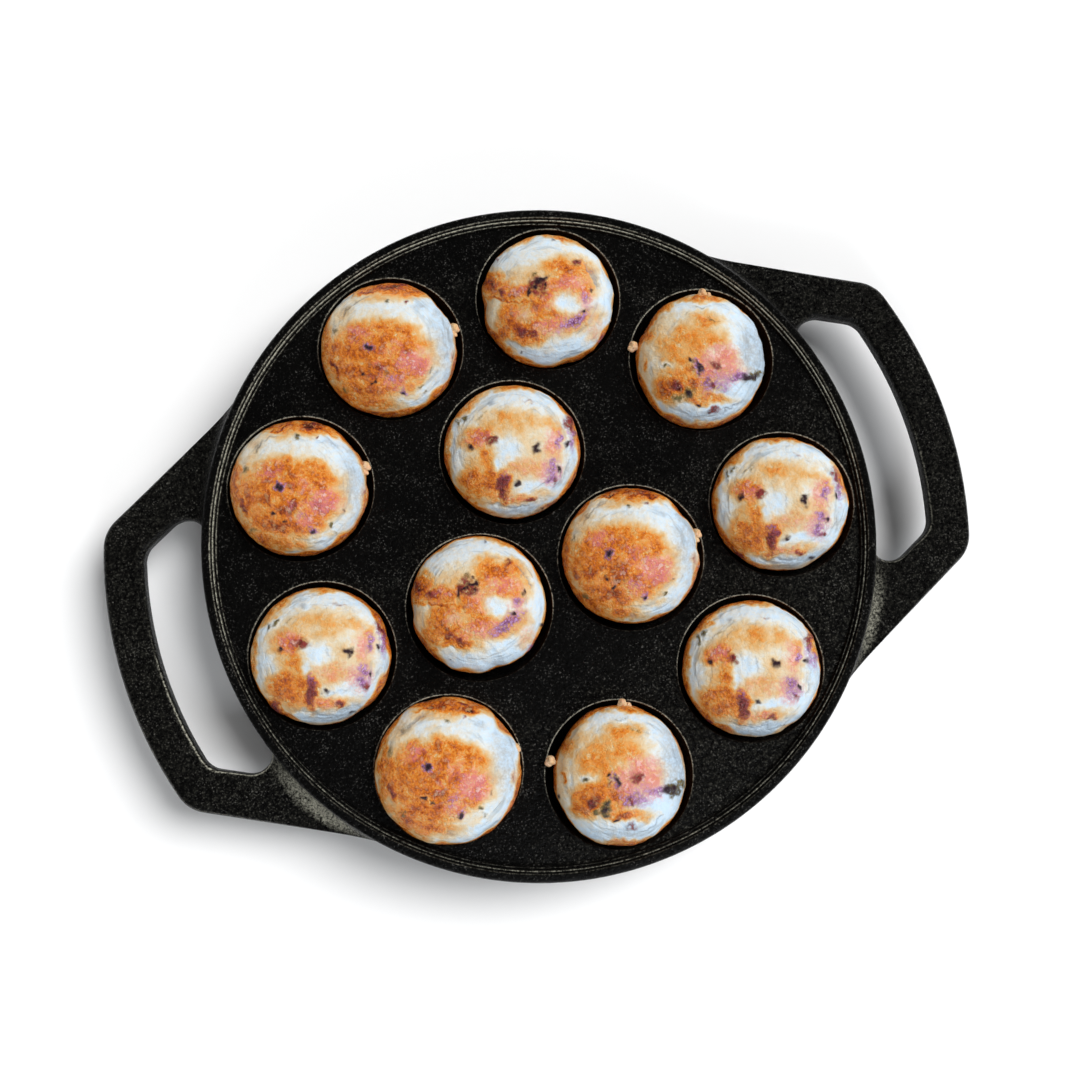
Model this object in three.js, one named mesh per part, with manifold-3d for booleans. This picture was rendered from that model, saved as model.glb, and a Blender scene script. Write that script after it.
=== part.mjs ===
// A cast-iron paniyaram pan: a round deck with twelve pits, a raised rim, two loop handles, and a
// paniyaram resting in every pit. Millimetres, +Z up. The origin is under the middle of the pan, on
// the plane of its feet, and the handles lie along X.
import * as THREE from 'three';
import { mergeVertices } from 'three/addons/utils/BufferGeometryUtils.js';
import Module from 'manifold-3d';

const wasm = await Module();
wasm.setup();

// Pits: round hollows in two rings, each with a flat foot underneath
const OUTER_PITS = 9;
const INNER_PITS = 3;
const PIT_MOUTH_RADIUS = 25;
const PIT_DEPTH = 22;
const PIT_FLOOR = 4; // iron under the lowest point of a pit
const FOOT_RADIUS = 7;
const INNER_WEB = 4.6; // deck left between two pits of the inner ring
const RING_WEB = 5.5; // deck left between an inner pit and the outer pits next to it

// Deck, and the rim with its skirt around it
const DECK_THICKNESS = 5;
const RIM_MARGIN = 1.3; // deck left between an outer pit and the foot of the rim
const RIM_HEIGHT = 3; // top of the rim above the deck
const RIM_TOP_WIDTH = 2.6; // level band on top of the rim, its rounded outer edge included
const RIM_EDGE = 1.2; // rounding of that outer edge
const LEDGE_DROP = 1.3; // from the rim's top to the ledge on its inner side
const LEDGE_WIDTH = 1.3;
const RIM_SLOPE = 0.5; // how far each of the two inner steps leans out, seen from above
const SKIRT_HEIGHT = 18; // from the rim's top to the lower edge of the skirt

// Handles: flat loops, lower than the rim
const HAND_GAP = 22; // room for the fingers between the skirt and the grip bar
const GRIP_WIDTH = 13.8;
const SIDE_WIDTH = 15; // width of the two sides that lead from the skirt to the grip
const HANDLE_THICKNESS = 7;
const HANDLE_DROP = 8.5; // from the rim's top down to the handle's top face
const HANDLE_HALF_WIDTH = 50; // where a side edge would meet the outer edge, before rounding
const ROOT_HALF_ANGLE = THREE.MathUtils.degToRad(44.5); // where a side edge meets the skirt
const HANDLE_CORNER = 13;
const ROOT_FILLET = 30;
const SLOT_CORNER = 8;
const SLOT_ROOT_FILLET = 8;
const ROOT_SINK = 1; // the two root fillets run this far into the skirt, so that they end blunt
const HANDLE_EDGE = 1.5; // rounding along the handle's edges
const COVE_RADIUS = 6.5; // hollow curve from the handle's top face up to the skirt

// Paniyarams
const PANIYARAM_CLEARANCE = 1.5; // a baked ball stands this far in from its pit's mouth
const PANIYARAM_CROWN = 13; // height of the dome above the ball's widest ring

// Fits between neighbouring pieces
const FIT_GAP = 0.3;

// Fineness of the round surfaces: sides around an axis, and steps along a curve
const PIT_SIDES = 24;
const PANIYARAM_SIDES = 20;
const RIM_SIDES = 72;
const BALL_STEPS = 6;
const PIT_STEPS = 5;
const CURVE_STEPS = 4;
const EDGE_STEPS = 2;
const SAME_POINT = 1e-6; // points closer than this are one point

// Heights that follow from the sizes above
const PIT_BOTTOM_Z = PIT_FLOOR;
const DECK_TOP_Z = PIT_BOTTOM_Z + PIT_DEPTH;
const DECK_UNDER_Z = DECK_TOP_Z - DECK_THICKNESS;
const RIM_TOP_Z = DECK_TOP_Z + RIM_HEIGHT;
const SKIRT_BOTTOM_Z = RIM_TOP_Z - SKIRT_HEIGHT;
const HANDLE_TOP_Z = RIM_TOP_Z - HANDLE_DROP;

// Radii that follow: the pits set the rings, and the rings set the rim
const PIT_SPHERE_RADIUS = (PIT_MOUTH_RADIUS ** 2 + PIT_DEPTH ** 2) / (2 * PIT_DEPTH);
const PIT_CENTRE_Z = PIT_BOTTOM_Z + PIT_SPHERE_RADIUS;
const SHELL_TOP_RADIUS = PIT_MOUTH_RADIUS + Math.min(INNER_WEB, RING_WEB) / 2 - FIT_GAP / 2;
const INNER_RING_RADIUS = (2 * PIT_MOUTH_RADIUS + INNER_WEB) / (2 * Math.sin(Math.PI / INNER_PITS));
const RING_TURN = Math.PI / OUTER_PITS;
const OUTER_RING_RADIUS = INNER_RING_RADIUS * Math.cos(RING_TURN)
  + Math.sqrt((2 * PIT_MOUTH_RADIUS + RING_WEB) ** 2 - (INNER_RING_RADIUS * Math.sin(RING_TURN)) ** 2);
const RIM_FOOT_RADIUS = OUTER_RING_RADIUS + PIT_MOUTH_RADIUS + RIM_MARGIN;
const RIM_RADIUS = RIM_FOOT_RADIUS + 2 * RIM_SLOPE + LEDGE_WIDTH + RIM_TOP_WIDTH;
const SKIRT_INNER_RADIUS = OUTER_RING_RADIUS + SHELL_TOP_RADIUS + FIT_GAP;
const WALL_RADIUS = RIM_RADIUS + FIT_GAP;
const SLOT_RADIUS = RIM_RADIUS + HAND_GAP;
const HANDLE_RADIUS = SLOT_RADIUS + GRIP_WIDTH;

const IRON = { color: 0x1b1a19, roughness: 0.55, metalness: 0.7 };
const CRUST = { color: 0xc9863f, roughness: 0.7, metalness: 0 };

// Points along an arc in a plane, both ends included
function arc(centreX, centreY, radius, from, to, steps) {
  return Array.from({ length: steps + 1 }, (_, step) => {
    const angle = from + ((to - from) * step) / steps;
    return new THREE.Vector2(centreX + radius * Math.cos(angle), centreY + radius * Math.sin(angle));
  });
}

// Arcs strung into one outline, without the points that two of them share
function outline(...runs) {
  const points = [];
  for (const point of runs.flat()) {
    if (points.every((other) => other.distanceTo(point) > SAME_POINT)) points.push(point);
  }
  return points;
}

// A profile of (radius, height) points turned about the Z axis
function turned(profile, sides) {
  return new THREE.LatheGeometry(profile, sides).rotateX(Math.PI / 2);
}

// A ring turned from a closed profile
function turnedRing(profile, sides) {
  return turned([...profile, profile[0]], sides);
}

function toSolid(geometry) {
  const bare = geometry.clone();
  bare.deleteAttribute('normal');
  bare.deleteAttribute('uv');
  const merged = mergeVertices(bare);
  const triangles = [];
  for (let i = 0; i < merged.index.count; i += 3) {
    const [a, b, c] = [0, 1, 2].map((corner) => merged.index.getX(i + corner));
    if (a !== b && b !== c && c !== a) triangles.push(a, b, c);
  }
  return new wasm.Manifold(new wasm.Mesh({
    numProp: 3,
    vertProperties: new Float32Array(merged.attributes.position.array),
    triVerts: new Uint32Array(triangles),
  }));
}

function toGeometry(solid) {
  const mesh = solid.getMesh();
  const geometry = new THREE.BufferGeometry();
  geometry.setAttribute('position', new THREE.BufferAttribute(mesh.vertProperties, 3));
  geometry.setIndex(new THREE.BufferAttribute(mesh.triVerts, 1));
  geometry.computeVertexNormals();
  return geometry;
}

function piece(name, geometry, look) {
  const mesh = new THREE.Mesh(geometry, new THREE.MeshStandardMaterial(look));
  mesh.name = name;
  return mesh;
}

// Where the pits lie: the outer ring starts at the front, the inner ring at the back
function pitPlaces() {
  const ring = (label, count, radius, start) => Array.from({ length: count }, (_, index) => {
    const angle = start + (2 * Math.PI * index) / count;
    return { label: `${label}_${index + 1}`, x: radius * Math.cos(angle), y: radius * Math.sin(angle) };
  });
  return [
    ...ring('outer', OUTER_PITS, OUTER_RING_RADIUS, -Math.PI / 2),
    ...ring('inner', INNER_PITS, INNER_RING_RADIUS, Math.PI / 2),
  ];
}

// The wall of one pit under the deck: a round hollow inside, a round belly with a flat foot outside
function pitShellGeometry() {
  const topZ = DECK_UNDER_Z - FIT_GAP;
  const bellyCentreZ = (SHELL_TOP_RADIUS ** 2 + topZ ** 2 - FOOT_RADIUS ** 2) / (2 * topZ);
  const bellyRadius = Math.hypot(FOOT_RADIUS, bellyCentreZ);
  const bellyStart = Math.atan2(-bellyCentreZ, FOOT_RADIUS);
  const bellyEnd = Math.atan2(topZ - bellyCentreZ, SHELL_TOP_RADIUS);
  const hollowStart = Math.asin((topZ - PIT_CENTRE_Z) / PIT_SPHERE_RADIUS);
  const profile = outline(
    [new THREE.Vector2(0, 0)],
    arc(0, bellyCentreZ, bellyRadius, bellyStart, bellyEnd, CURVE_STEPS),
    arc(0, PIT_CENTRE_Z, PIT_SPHERE_RADIUS, hollowStart, -Math.PI / 2, PIT_STEPS),
  );
  return turned(profile, PIT_SIDES);
}

// The deck: a round plate, with the upper part of every pit's hollow cut through it
function deckGeometry(places) {
  const radius = SKIRT_INNER_RADIUS - FIT_GAP;
  const plate = turned([
    new THREE.Vector2(0, DECK_UNDER_Z),
    new THREE.Vector2(radius, DECK_UNDER_Z),
    new THREE.Vector2(radius, DECK_TOP_Z),
    new THREE.Vector2(0, DECK_TOP_Z),
  ], RIM_SIDES);
  const below = Math.asin((DECK_UNDER_Z - DECK_THICKNESS / 2 - PIT_CENTRE_Z) / PIT_SPHERE_RADIUS);
  const mouth = Math.asin((DECK_TOP_Z - PIT_CENTRE_Z) / PIT_SPHERE_RADIUS);
  const hollow = turned([
    new THREE.Vector2(0, PIT_CENTRE_Z + PIT_SPHERE_RADIUS * Math.sin(below)),
    ...arc(0, PIT_CENTRE_Z, PIT_SPHERE_RADIUS, below, mouth, EDGE_STEPS),
    new THREE.Vector2(PIT_MOUTH_RADIUS, RIM_TOP_Z),
    new THREE.Vector2(0, RIM_TOP_Z),
  ], PIT_SIDES);
  const cut = places.reduce(
    (solid, place) => solid.subtract(toSolid(hollow.clone().translate(place.x, place.y, 0))),
    toSolid(plate),
  );
  return toGeometry(cut);
}

// The rim stands on the deck's edge, with a ledge on its inner side, and its skirt hangs around the deck
function rimGeometry() {
  const bandInner = RIM_RADIUS - RIM_TOP_WIDTH;
  const ledgeZ = RIM_TOP_Z - LEDGE_DROP;
  const footZ = DECK_TOP_Z + FIT_GAP;
  return turnedRing(outline(
    [
      new THREE.Vector2(SKIRT_INNER_RADIUS, footZ),
      new THREE.Vector2(SKIRT_INNER_RADIUS, SKIRT_BOTTOM_Z),
      new THREE.Vector2(RIM_RADIUS, SKIRT_BOTTOM_Z),
    ],
    arc(RIM_RADIUS - RIM_EDGE, RIM_TOP_Z - RIM_EDGE, RIM_EDGE, 0, Math.PI / 2, EDGE_STEPS),
    [
      new THREE.Vector2(bandInner, RIM_TOP_Z),
      new THREE.Vector2(bandInner - RIM_SLOPE, ledgeZ),
      new THREE.Vector2(RIM_FOOT_RADIUS + RIM_SLOPE, ledgeZ),
      new THREE.Vector2(RIM_FOOT_RADIUS, footZ),
    ],
  ), RIM_SIDES);
}

// The handle that points along +X, seen from above: a loop whose two ends run on into the skirt
function handleOutline() {
  const root = new THREE.Vector2(Math.cos(ROOT_HALF_ANGLE), Math.sin(ROOT_HALF_ANGLE));
  root.multiplyScalar(WALL_RADIUS);
  const cornerX = Math.sqrt(HANDLE_RADIUS ** 2 - HANDLE_HALF_WIDTH ** 2);
  const along = new THREE.Vector2(cornerX, HANDLE_HALF_WIDTH).sub(root).normalize();
  const inward = new THREE.Vector2(along.y, -along.x);
  const sideAngle = inward.angle() - Math.PI;

  // The centre of a round corner: on a parallel of the side edge, and on a circle about the pan's axis
  const cornerCentre = (offset, radius) => {
    const start = inward.clone().multiplyScalar(offset).add(root);
    const halfSlope = start.dot(along);
    const travel = Math.sqrt(halfSlope ** 2 - start.lengthSq() + radius ** 2) - halfSlope;
    return along.clone().multiplyScalar(travel).add(start);
  };
  const sunkRadius = WALL_RADIUS - ROOT_SINK;
  const corner = cornerCentre(HANDLE_CORNER, HANDLE_RADIUS - HANDLE_CORNER);
  const rootFillet = cornerCentre(-ROOT_FILLET, sunkRadius + ROOT_FILLET);
  const slotRoot = cornerCentre(SIDE_WIDTH + SLOT_ROOT_FILLET, sunkRadius + SLOT_ROOT_FILLET);
  const slotCorner = cornerCentre(SIDE_WIDTH + SLOT_CORNER, SLOT_RADIUS - SLOT_CORNER);
  const rootTurn = rootFillet.angle();

  const half = outline(
    arc(0, 0, HANDLE_RADIUS, 0, corner.angle(), CURVE_STEPS),
    arc(corner.x, corner.y, HANDLE_CORNER, corner.angle(), sideAngle, CURVE_STEPS),
    arc(rootFillet.x, rootFillet.y, ROOT_FILLET, sideAngle + Math.PI, rootTurn + Math.PI, CURVE_STEPS),
    arc(0, 0, sunkRadius - 2 * HANDLE_EDGE, rootTurn, slotRoot.angle(), CURVE_STEPS),
    arc(slotRoot.x, slotRoot.y, SLOT_ROOT_FILLET, slotRoot.angle() + Math.PI, sideAngle, CURVE_STEPS),
    arc(slotCorner.x, slotCorner.y, SLOT_CORNER, sideAngle, slotCorner.angle(), CURVE_STEPS),
    arc(0, 0, SLOT_RADIUS, slotCorner.angle(), 0, CURVE_STEPS),
  );
  const mirrored = half.map((point) => new THREE.Vector2(point.x, -point.y)).reverse();
  return outline(half, mirrored);
}

// A handle: its loop with rounded edges, and the cove that climbs to the skirt over its two roots,
// both cut back to the skirt's round wall
function handleGeometry() {
  const shape = new THREE.Shape(handleOutline());
  const loop = new THREE.ExtrudeGeometry(shape, {
    depth: HANDLE_THICKNESS - 2 * HANDLE_EDGE,
    bevelThickness: HANDLE_EDGE,
    bevelSize: HANDLE_EDGE,
    bevelOffset: -HANDLE_EDGE,
    bevelSegments: EDGE_STEPS,
  }).translate(0, 0, HANDLE_TOP_Z - HANDLE_THICKNESS + HANDLE_EDGE);
  const sunkZ = HANDLE_TOP_Z - HANDLE_THICKNESS / 2;
  const coveRadius = WALL_RADIUS + COVE_RADIUS;
  const cove = turnedRing(outline(
    [new THREE.Vector2(WALL_RADIUS, sunkZ), new THREE.Vector2(coveRadius, sunkZ)],
    arc(coveRadius, HANDLE_TOP_Z + COVE_RADIUS, COVE_RADIUS, -Math.PI / 2, -Math.PI, CURVE_STEPS),
  ), RIM_SIDES);
  const above = new THREE.ExtrudeGeometry(shape, { depth: RIM_TOP_Z - sunkZ, bevelEnabled: false });
  const roots = toSolid(cove).intersect(toSolid(above.translate(0, 0, sunkZ)));
  const skirt = turned([
    new THREE.Vector2(0, HANDLE_TOP_Z - 2 * HANDLE_THICKNESS),
    new THREE.Vector2(WALL_RADIUS, HANDLE_TOP_Z - 2 * HANDLE_THICKNESS),
    new THREE.Vector2(WALL_RADIUS, RIM_TOP_Z + HANDLE_THICKNESS),
    new THREE.Vector2(0, RIM_TOP_Z + HANDLE_THICKNESS),
  ], RIM_SIDES);
  return toGeometry(toSolid(loop).add(roots).subtract(toSolid(skirt)));
}

// A paniyaram: a ball that rests on the bottom of its pit, with a lower dome above its widest ring
function paniyaramGeometry() {
  const radius = PIT_MOUTH_RADIUS - PANIYARAM_CLEARANCE;
  const widestZ = PIT_BOTTOM_Z + FIT_GAP + radius;
  const dome = arc(0, 0, 1, 0, Math.PI / 2, CURVE_STEPS)
    .map((point) => new THREE.Vector2(radius * point.x, widestZ + PANIYARAM_CROWN * point.y));
  return turned(outline(arc(0, widestZ, radius, -Math.PI / 2, 0, BALL_STEPS), dome), PANIYARAM_SIDES);
}

const pan = new THREE.Group();
const places = pitPlaces();
pan.add(piece('rim_skirt', rimGeometry(), IRON));
pan.add(piece('deck_plate', deckGeometry(places), IRON));

for (const place of places) {
  const shell = piece(`pit_shell_${place.label}`, pitShellGeometry(), IRON);
  const ball = piece(`paniyaram_${place.label}`, paniyaramGeometry(), CRUST);
  shell.position.set(place.x, place.y, 0);
  ball.position.set(place.x, place.y, 0);
  pan.add(shell, ball);
}

const handleRight = piece('handle_right', handleGeometry(), IRON);
const handleLeft = piece('handle_left', handleGeometry(), IRON);
handleLeft.rotation.z = Math.PI;
pan.add(handleRight, handleLeft);

export default pan;
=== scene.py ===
# %% [markdown]
# # A filled paniyaram pan
# This lesson dresses a black cast-iron pan and the twelve paniyarams that lie in its pits. The packed
# model already holds every piece at its real size and place. Each step makes the fine surface of one
# kind of piece with numpy, gives it a finish made of shader nodes, and hangs it on the body it moves with.

# %% Load the frame
import math

import bmesh
import bpy
import numpy as np
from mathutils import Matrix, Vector
from mathutils.geometry import delaunay_2d_cdt


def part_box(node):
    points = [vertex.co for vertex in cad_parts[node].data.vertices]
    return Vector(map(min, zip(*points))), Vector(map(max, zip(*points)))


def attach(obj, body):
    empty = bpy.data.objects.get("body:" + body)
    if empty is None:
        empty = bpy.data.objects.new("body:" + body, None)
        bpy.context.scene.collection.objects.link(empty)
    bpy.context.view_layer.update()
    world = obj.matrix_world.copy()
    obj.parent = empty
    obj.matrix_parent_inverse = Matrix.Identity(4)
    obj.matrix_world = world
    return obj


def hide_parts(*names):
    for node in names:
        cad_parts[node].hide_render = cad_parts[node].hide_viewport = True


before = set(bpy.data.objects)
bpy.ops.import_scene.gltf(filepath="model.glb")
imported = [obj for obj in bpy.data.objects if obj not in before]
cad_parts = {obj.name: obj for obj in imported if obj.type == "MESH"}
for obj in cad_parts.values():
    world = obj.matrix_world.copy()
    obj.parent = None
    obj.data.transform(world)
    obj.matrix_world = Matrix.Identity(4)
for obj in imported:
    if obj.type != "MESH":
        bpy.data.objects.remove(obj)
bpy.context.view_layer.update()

# %% [markdown]
# ## Sizes
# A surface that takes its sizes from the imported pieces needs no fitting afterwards. So radii and heights
# are read from the boxes of those pieces. Only what a box can't tell, such as how round an edge is, is
# written down as a length of its own, in the step where it is first needed.

# %% Measure the casting
MM = 0.001


def node_box(name):
    """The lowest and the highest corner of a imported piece, as two arrays in metres."""
    low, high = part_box(name)
    return np.array(low), np.array(high)


RIM_LOW, RIM_HIGH = node_box("rim_skirt")
DECK_LOW, DECK_HIGH = node_box("deck_plate")
HANDLE_LOW, HANDLE_HIGH = node_box("handle_right")
RIM_RADIUS, RIM_TOP, SKIRT_BOTTOM = RIM_HIGH[0], RIM_HIGH[2], RIM_LOW[2]
DECK_RADIUS, DECK_TOP, DECK_UNDER = DECK_HIGH[0], DECK_HIGH[2], DECK_LOW[2]
HANDLE_RADIUS, HANDLE_BOTTOM = HANDLE_HIGH[0], HANDLE_LOW[2]
PIT_LABELS = sorted(name[len("pit_shell_"):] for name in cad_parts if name.startswith("pit_shell_"))
PIT_MIDDLES = np.array([np.mean(node_box("pit_shell_" + label), axis=0)[:2] for label in PIT_LABELS])
print("rim radius", round(RIM_RADIUS / MM, 1), "mm, pits:", len(PIT_LABELS))

# %% [markdown]
# ## Camera
# The picture was taken from almost straight above, from about forty centimetres, with the handles turned
# some eighteen degrees. The place and the lens were worked out from the rim circle and the pit mouths.

# %% Set up the camera
CAMERA_PLACE = np.array([-20.5, -30.8, 429.1]) * MM
CAMERA_TURN = np.radians([5.00, -1.35, -18.31])
CAMERA_LENS = 39.35

camera_data = bpy.data.cameras.new("camera")
camera_data.lens = CAMERA_LENS
camera = bpy.data.objects.new("camera", camera_data)
camera.location = CAMERA_PLACE
camera.rotation_euler = CAMERA_TURN
bpy.context.scene.collection.objects.link(camera)
bpy.context.scene.camera = camera
PICTURE_TURN = -CAMERA_TURN[2]
PICTURE_RIGHT = np.array([math.cos(PICTURE_TURN), -math.sin(PICTURE_TURN)])
PICTURE_UP = np.array([math.sin(PICTURE_TURN), math.cos(PICTURE_TURN)])
print("camera", round(CAMERA_PLACE[2] / MM), "mm above the floor")

# %% [markdown]
# ## Grids and turned profiles
# Nearly everything on this pan is round, so nearly every surface is a grid: one direction runs along a
# profile, the other runs around an axis. A spin tool could turn the profiles too, but as arrays the same
# few lines serve the rim, the pits and the paniyarams, and the exact radius of every ring is known.

# %% Helpers for grids
SAME_POINT = 0.002 * MM
CREASE = math.radians(42)


def grid_faces(rows, columns, closed_rows=False):
    """Corner numbers of the four-sided faces of a point grid whose columns go once round."""
    row = np.arange(rows if closed_rows else rows - 1)
    low, left = np.meshgrid(row, np.arange(columns), indexing="ij")
    up, right = (low + 1) % rows, (left + 1) % columns
    corners = [low * columns + left, low * columns + right, up * columns + right, up * columns + left]
    return np.stack(corners, axis=-1).reshape(-1, 4)


def arc(middle, radius, first, last, points):
    """Points middle + radius * (cos a, sin a), for angles a in even steps from first to last."""
    angle = np.linspace(first, last, points)
    return np.asarray(middle) + radius * np.stack([np.cos(angle), np.sin(angle)], axis=1)


def turned(profile, around, middle=(0.0, 0.0)):
    """Every profile point (r, z) goes round an upright axis: x = mx + r cos t, y = my + r sin t."""
    turn = np.linspace(0, 2 * np.pi, around, endpoint=False)
    radius, height = profile[:, :1], profile[:, 1:]
    x = middle[0] + radius * np.cos(turn)
    y = middle[1] + radius * np.sin(turn)
    return np.stack([x, y, np.broadcast_to(height, x.shape)], axis=-1).reshape(-1, 3)


def rounded(corners, steps=6):
    """Every corner (across, up, radius) of a closed outline becomes an arc that touches both its sides.

    The arc's middle lies on the bisector, radius / sin(half the corner's angle) away from the corner.
    """
    corners = np.asarray(corners, dtype=float)
    here, radius = corners[:, :2], corners[:, 2:]
    before = np.roll(here, 1, axis=0) - here
    after = np.roll(here, -1, axis=0) - here
    before /= np.linalg.norm(before, axis=1, keepdims=True)
    after /= np.linalg.norm(after, axis=1, keepdims=True)
    half = np.arccos((before * after).sum(axis=1, keepdims=True)) / 2
    bisector = (before + after) / np.linalg.norm(before + after, axis=1, keepdims=True)
    middle = here + bisector * radius / np.sin(half)
    start = here + before * radius / np.tan(half) - middle
    end = here + after * radius / np.tan(half) - middle
    first = np.arctan2(start[:, 1], start[:, 0])
    turn = np.arctan2(end[:, 1], end[:, 0]) - first
    turn = (turn + np.pi) % (2 * np.pi) - np.pi
    angle = first[:, None] + turn[:, None] * np.linspace(0, 1, steps + 1)
    arcs = middle[:, None] + radius[:, None] * np.stack([np.cos(angle), np.sin(angle)], axis=-1)
    return arcs.reshape(-1, 2)


print("two rings of eight points make", len(grid_faces(2, 8)), "faces")

# %% Helper that puts a piece into the scene
def put_piece(name, points, faces, finish, body, node, marks):
    """Makes a mesh from arrays, closes its seams and poles, and hangs it on its body in place of a node.

    Marks are arrays with one number or one colour for every point, which the finish reads by name.
    """
    mesh = bpy.data.meshes.new(name)
    mesh.from_pydata(points.tolist(), [], [face for group in faces for face in group.tolist()])
    for mark, values in marks.items():
        kind, field = ("FLOAT", "value") if values.ndim == 1 else ("FLOAT_COLOR", "color")
        layer = mesh.attributes.new(mark, kind, "POINT")
        layer.data.foreach_set(field, values.astype(np.float32).ravel())
    work = bmesh.new()
    work.from_mesh(mesh)
    bmesh.ops.remove_doubles(work, verts=work.verts, dist=SAME_POINT)
    bmesh.ops.recalc_face_normals(work, faces=work.faces)
    work.to_mesh(mesh)
    work.free()
    mesh.shade_smooth()
    mesh.set_sharp_from_angle(angle=CREASE)
    mesh.materials.append(finish)
    piece = bpy.data.objects.new(name, mesh)
    bpy.context.scene.collection.objects.link(piece)
    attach(piece, body)
    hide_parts(node)
    return piece


# %% [markdown]
# ## Seasoned iron
# The pan is sand-cast iron, black with baked-on oil. Close up it is a skin of fine pebbles left by the
# sand, and wherever it is rubbed bare it shows grey. An even black would look like plastic, and a single
# noise would look alike everywhere. So the finish has four scales: pebbles of about a millimetre, finer
# grit, patches where more of the grit is bare, and clouds several centimetres wide. The bright specks of
# grit are partly bare metal and partly painted glints. Each piece of the casting carries a mark, one number
# for every point, and the more of it, the greyer the iron. The mark holds real wear, and also painted
# highlights and painted sheen on the edges and coves that face the light.

# %% Helpers for finishes
# A span is what rise takes: low and high, and then bottom and top where these aren't 0 and 1.
NOISE_SPAN = (0.3, 0.7)
BUMP_STRENGTH = 0.8
BUMP_HEIGHT = 0.5 * MM


def shader(tree, kind, inputs=(), **properties):
    """Adds a shader node: inputs gives its sockets a value or a link, properties are set on the node."""
    made = tree.nodes.new(kind)
    for name, value in properties.items():
        setattr(made, name, value)
    for socket, value in dict(inputs).items():
        if isinstance(value, bpy.types.NodeSocket):
            tree.links.new(value, made.inputs[socket])
        else:
            made.inputs[socket].default_value = value
    return made


def blend(tree, amount, first, second):
    """A colour that goes from first to second as amount goes from 0 to 1."""
    mix = shader(tree, "ShaderNodeMix", {0: amount, 6: first, 7: second}, data_type="RGBA")
    return mix.outputs[2]


def maths(tree, operation, first, second):
    """One sum on two numbers."""
    return shader(tree, "ShaderNodeMath", {0: first, 1: second}, operation=operation).outputs[0]


def rise(tree, value, low, high, bottom=0.0, top=1.0):
    """A smooth step from bottom to top as value goes from low to high."""
    span = {"Value": value, "From Min": low, "From Max": high, "To Min": bottom, "To Max": top}
    return shader(tree, "ShaderNodeMapRange", span, interpolation_type="SMOOTHSTEP").outputs["Result"]


def noise(tree, place, size, detail=3.0, roughness=0.6):
    """Cloudy noise whose lumps are about size wide, in the units of the place that it reads."""
    settings = {"Vector": place, "Scale": 1 / size, "Detail": detail, "Roughness": roughness}
    return shader(tree, "ShaderNodeTexNoise", settings).outputs["Fac"]


def new_finish(name):
    """An empty node material: its tree, and the principled surface that the tree ends in."""
    material = bpy.data.materials.new(name)
    material.use_nodes = True
    return material, material.node_tree, material.node_tree.nodes["Principled BSDF"]


def read_mark(tree, name):
    """The sockets Color, Vector and Fac of the mark that the mesh carries under this name."""
    return shader(tree, "ShaderNodeAttribute", attribute_name=name).outputs


def emboss(tree, surface, relief):
    """Tilts the surface as a relief of up to BUMP_HEIGHT would."""
    settings = {"Height": relief, "Strength": BUMP_STRENGTH, "Distance": BUMP_HEIGHT}
    tree.links.new(shader(tree, "ShaderNodeBump", settings).outputs["Normal"], surface.inputs["Normal"])


# %% The iron finish
def colour(red, green, blue):
    """A colour socket's value from three numbers in linear light."""
    return (red, green, blue, 1.0)


PEBBLE = 1.1 * MM
GRIT = 0.6 * MM
PATCH = 9 * MM
CLOUD = 38 * MM
DARK_SKIN = colour(0.0016, 0.0016, 0.0017)
LIGHT_SKIN = colour(0.0034, 0.0033, 0.0030)
BARE_GRIT_AND_GLINT = colour(0.075, 0.073, 0.068)
BARE_IRON_AND_SHEEN = colour(0.42, 0.41, 0.33)
PATCH_SHARE, SPECK_SPAN = 0.25, (0.72, 0.90)
WEAR_AND_SHEEN_EVENLY, WEAR_AND_SHEEN_SPAN = 0.4, (0.2, 1.4)
IRON_ROUGHNESS = (0.26, 0.42)
OIL_SHEEN = 0.18
GRIT_RELIEF = 0.4


def iron_finish():
    """Black iron: pebbled bump, cloudy colour, uneven gloss, specks of grit and painted glint, grey rubbing
    and painted sheen.
    """
    material, tree, surface = new_finish("seasoned_iron")
    place = shader(tree, "ShaderNodeTexCoord").outputs["Object"]
    pebbles = noise(tree, place, PEBBLE, detail=3.0, roughness=0.55)
    clouds = noise(tree, place, CLOUD)
    grit = noise(tree, place, GRIT, detail=2.0)
    patches = noise(tree, place, PATCH)
    # Painted glints: the bright specks are partly bare grit and partly glints of light painted into the
    # colour.
    specks = rise(tree, maths(tree, "ADD", grit, maths(tree, "MULTIPLY", patches, PATCH_SHARE)), *SPECK_SPAN)
    tooth = maths(tree, "ADD", rise(tree, grit, *NOISE_SPAN), rise(tree, pebbles, *NOISE_SPAN))
    toothed_wear_and_sheen = maths(tree, "MULTIPLY", read_mark(tree, "wear_and_sheen")["Fac"], maths(tree, "ADD", tooth, WEAR_AND_SHEEN_EVENLY))
    skin = blend(tree, clouds, DARK_SKIN, LIGHT_SKIN)
    dotted = blend(tree, specks, skin, BARE_GRIT_AND_GLINT)
    # The grey of the mark is partly real wear and partly painted highlight and painted sheen.
    bare_and_sheen = blend(tree, rise(tree, toothed_wear_and_sheen, *WEAR_AND_SHEEN_SPAN), dotted, BARE_IRON_AND_SHEEN)
    tree.links.new(bare_and_sheen, surface.inputs["Base Color"])
    tree.links.new(rise(tree, pebbles, *NOISE_SPAN, *IRON_ROUGHNESS), surface.inputs["Roughness"])
    surface.inputs["Specular IOR Level"].default_value = OIL_SHEEN
    emboss(tree, surface, maths(tree, "ADD", pebbles, maths(tree, "MULTIPLY", grit, GRIT_RELIEF)))
    return material


IRON = iron_finish()
print("finish:", IRON.name, "with", len(IRON.node_tree.nodes), "nodes")


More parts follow.
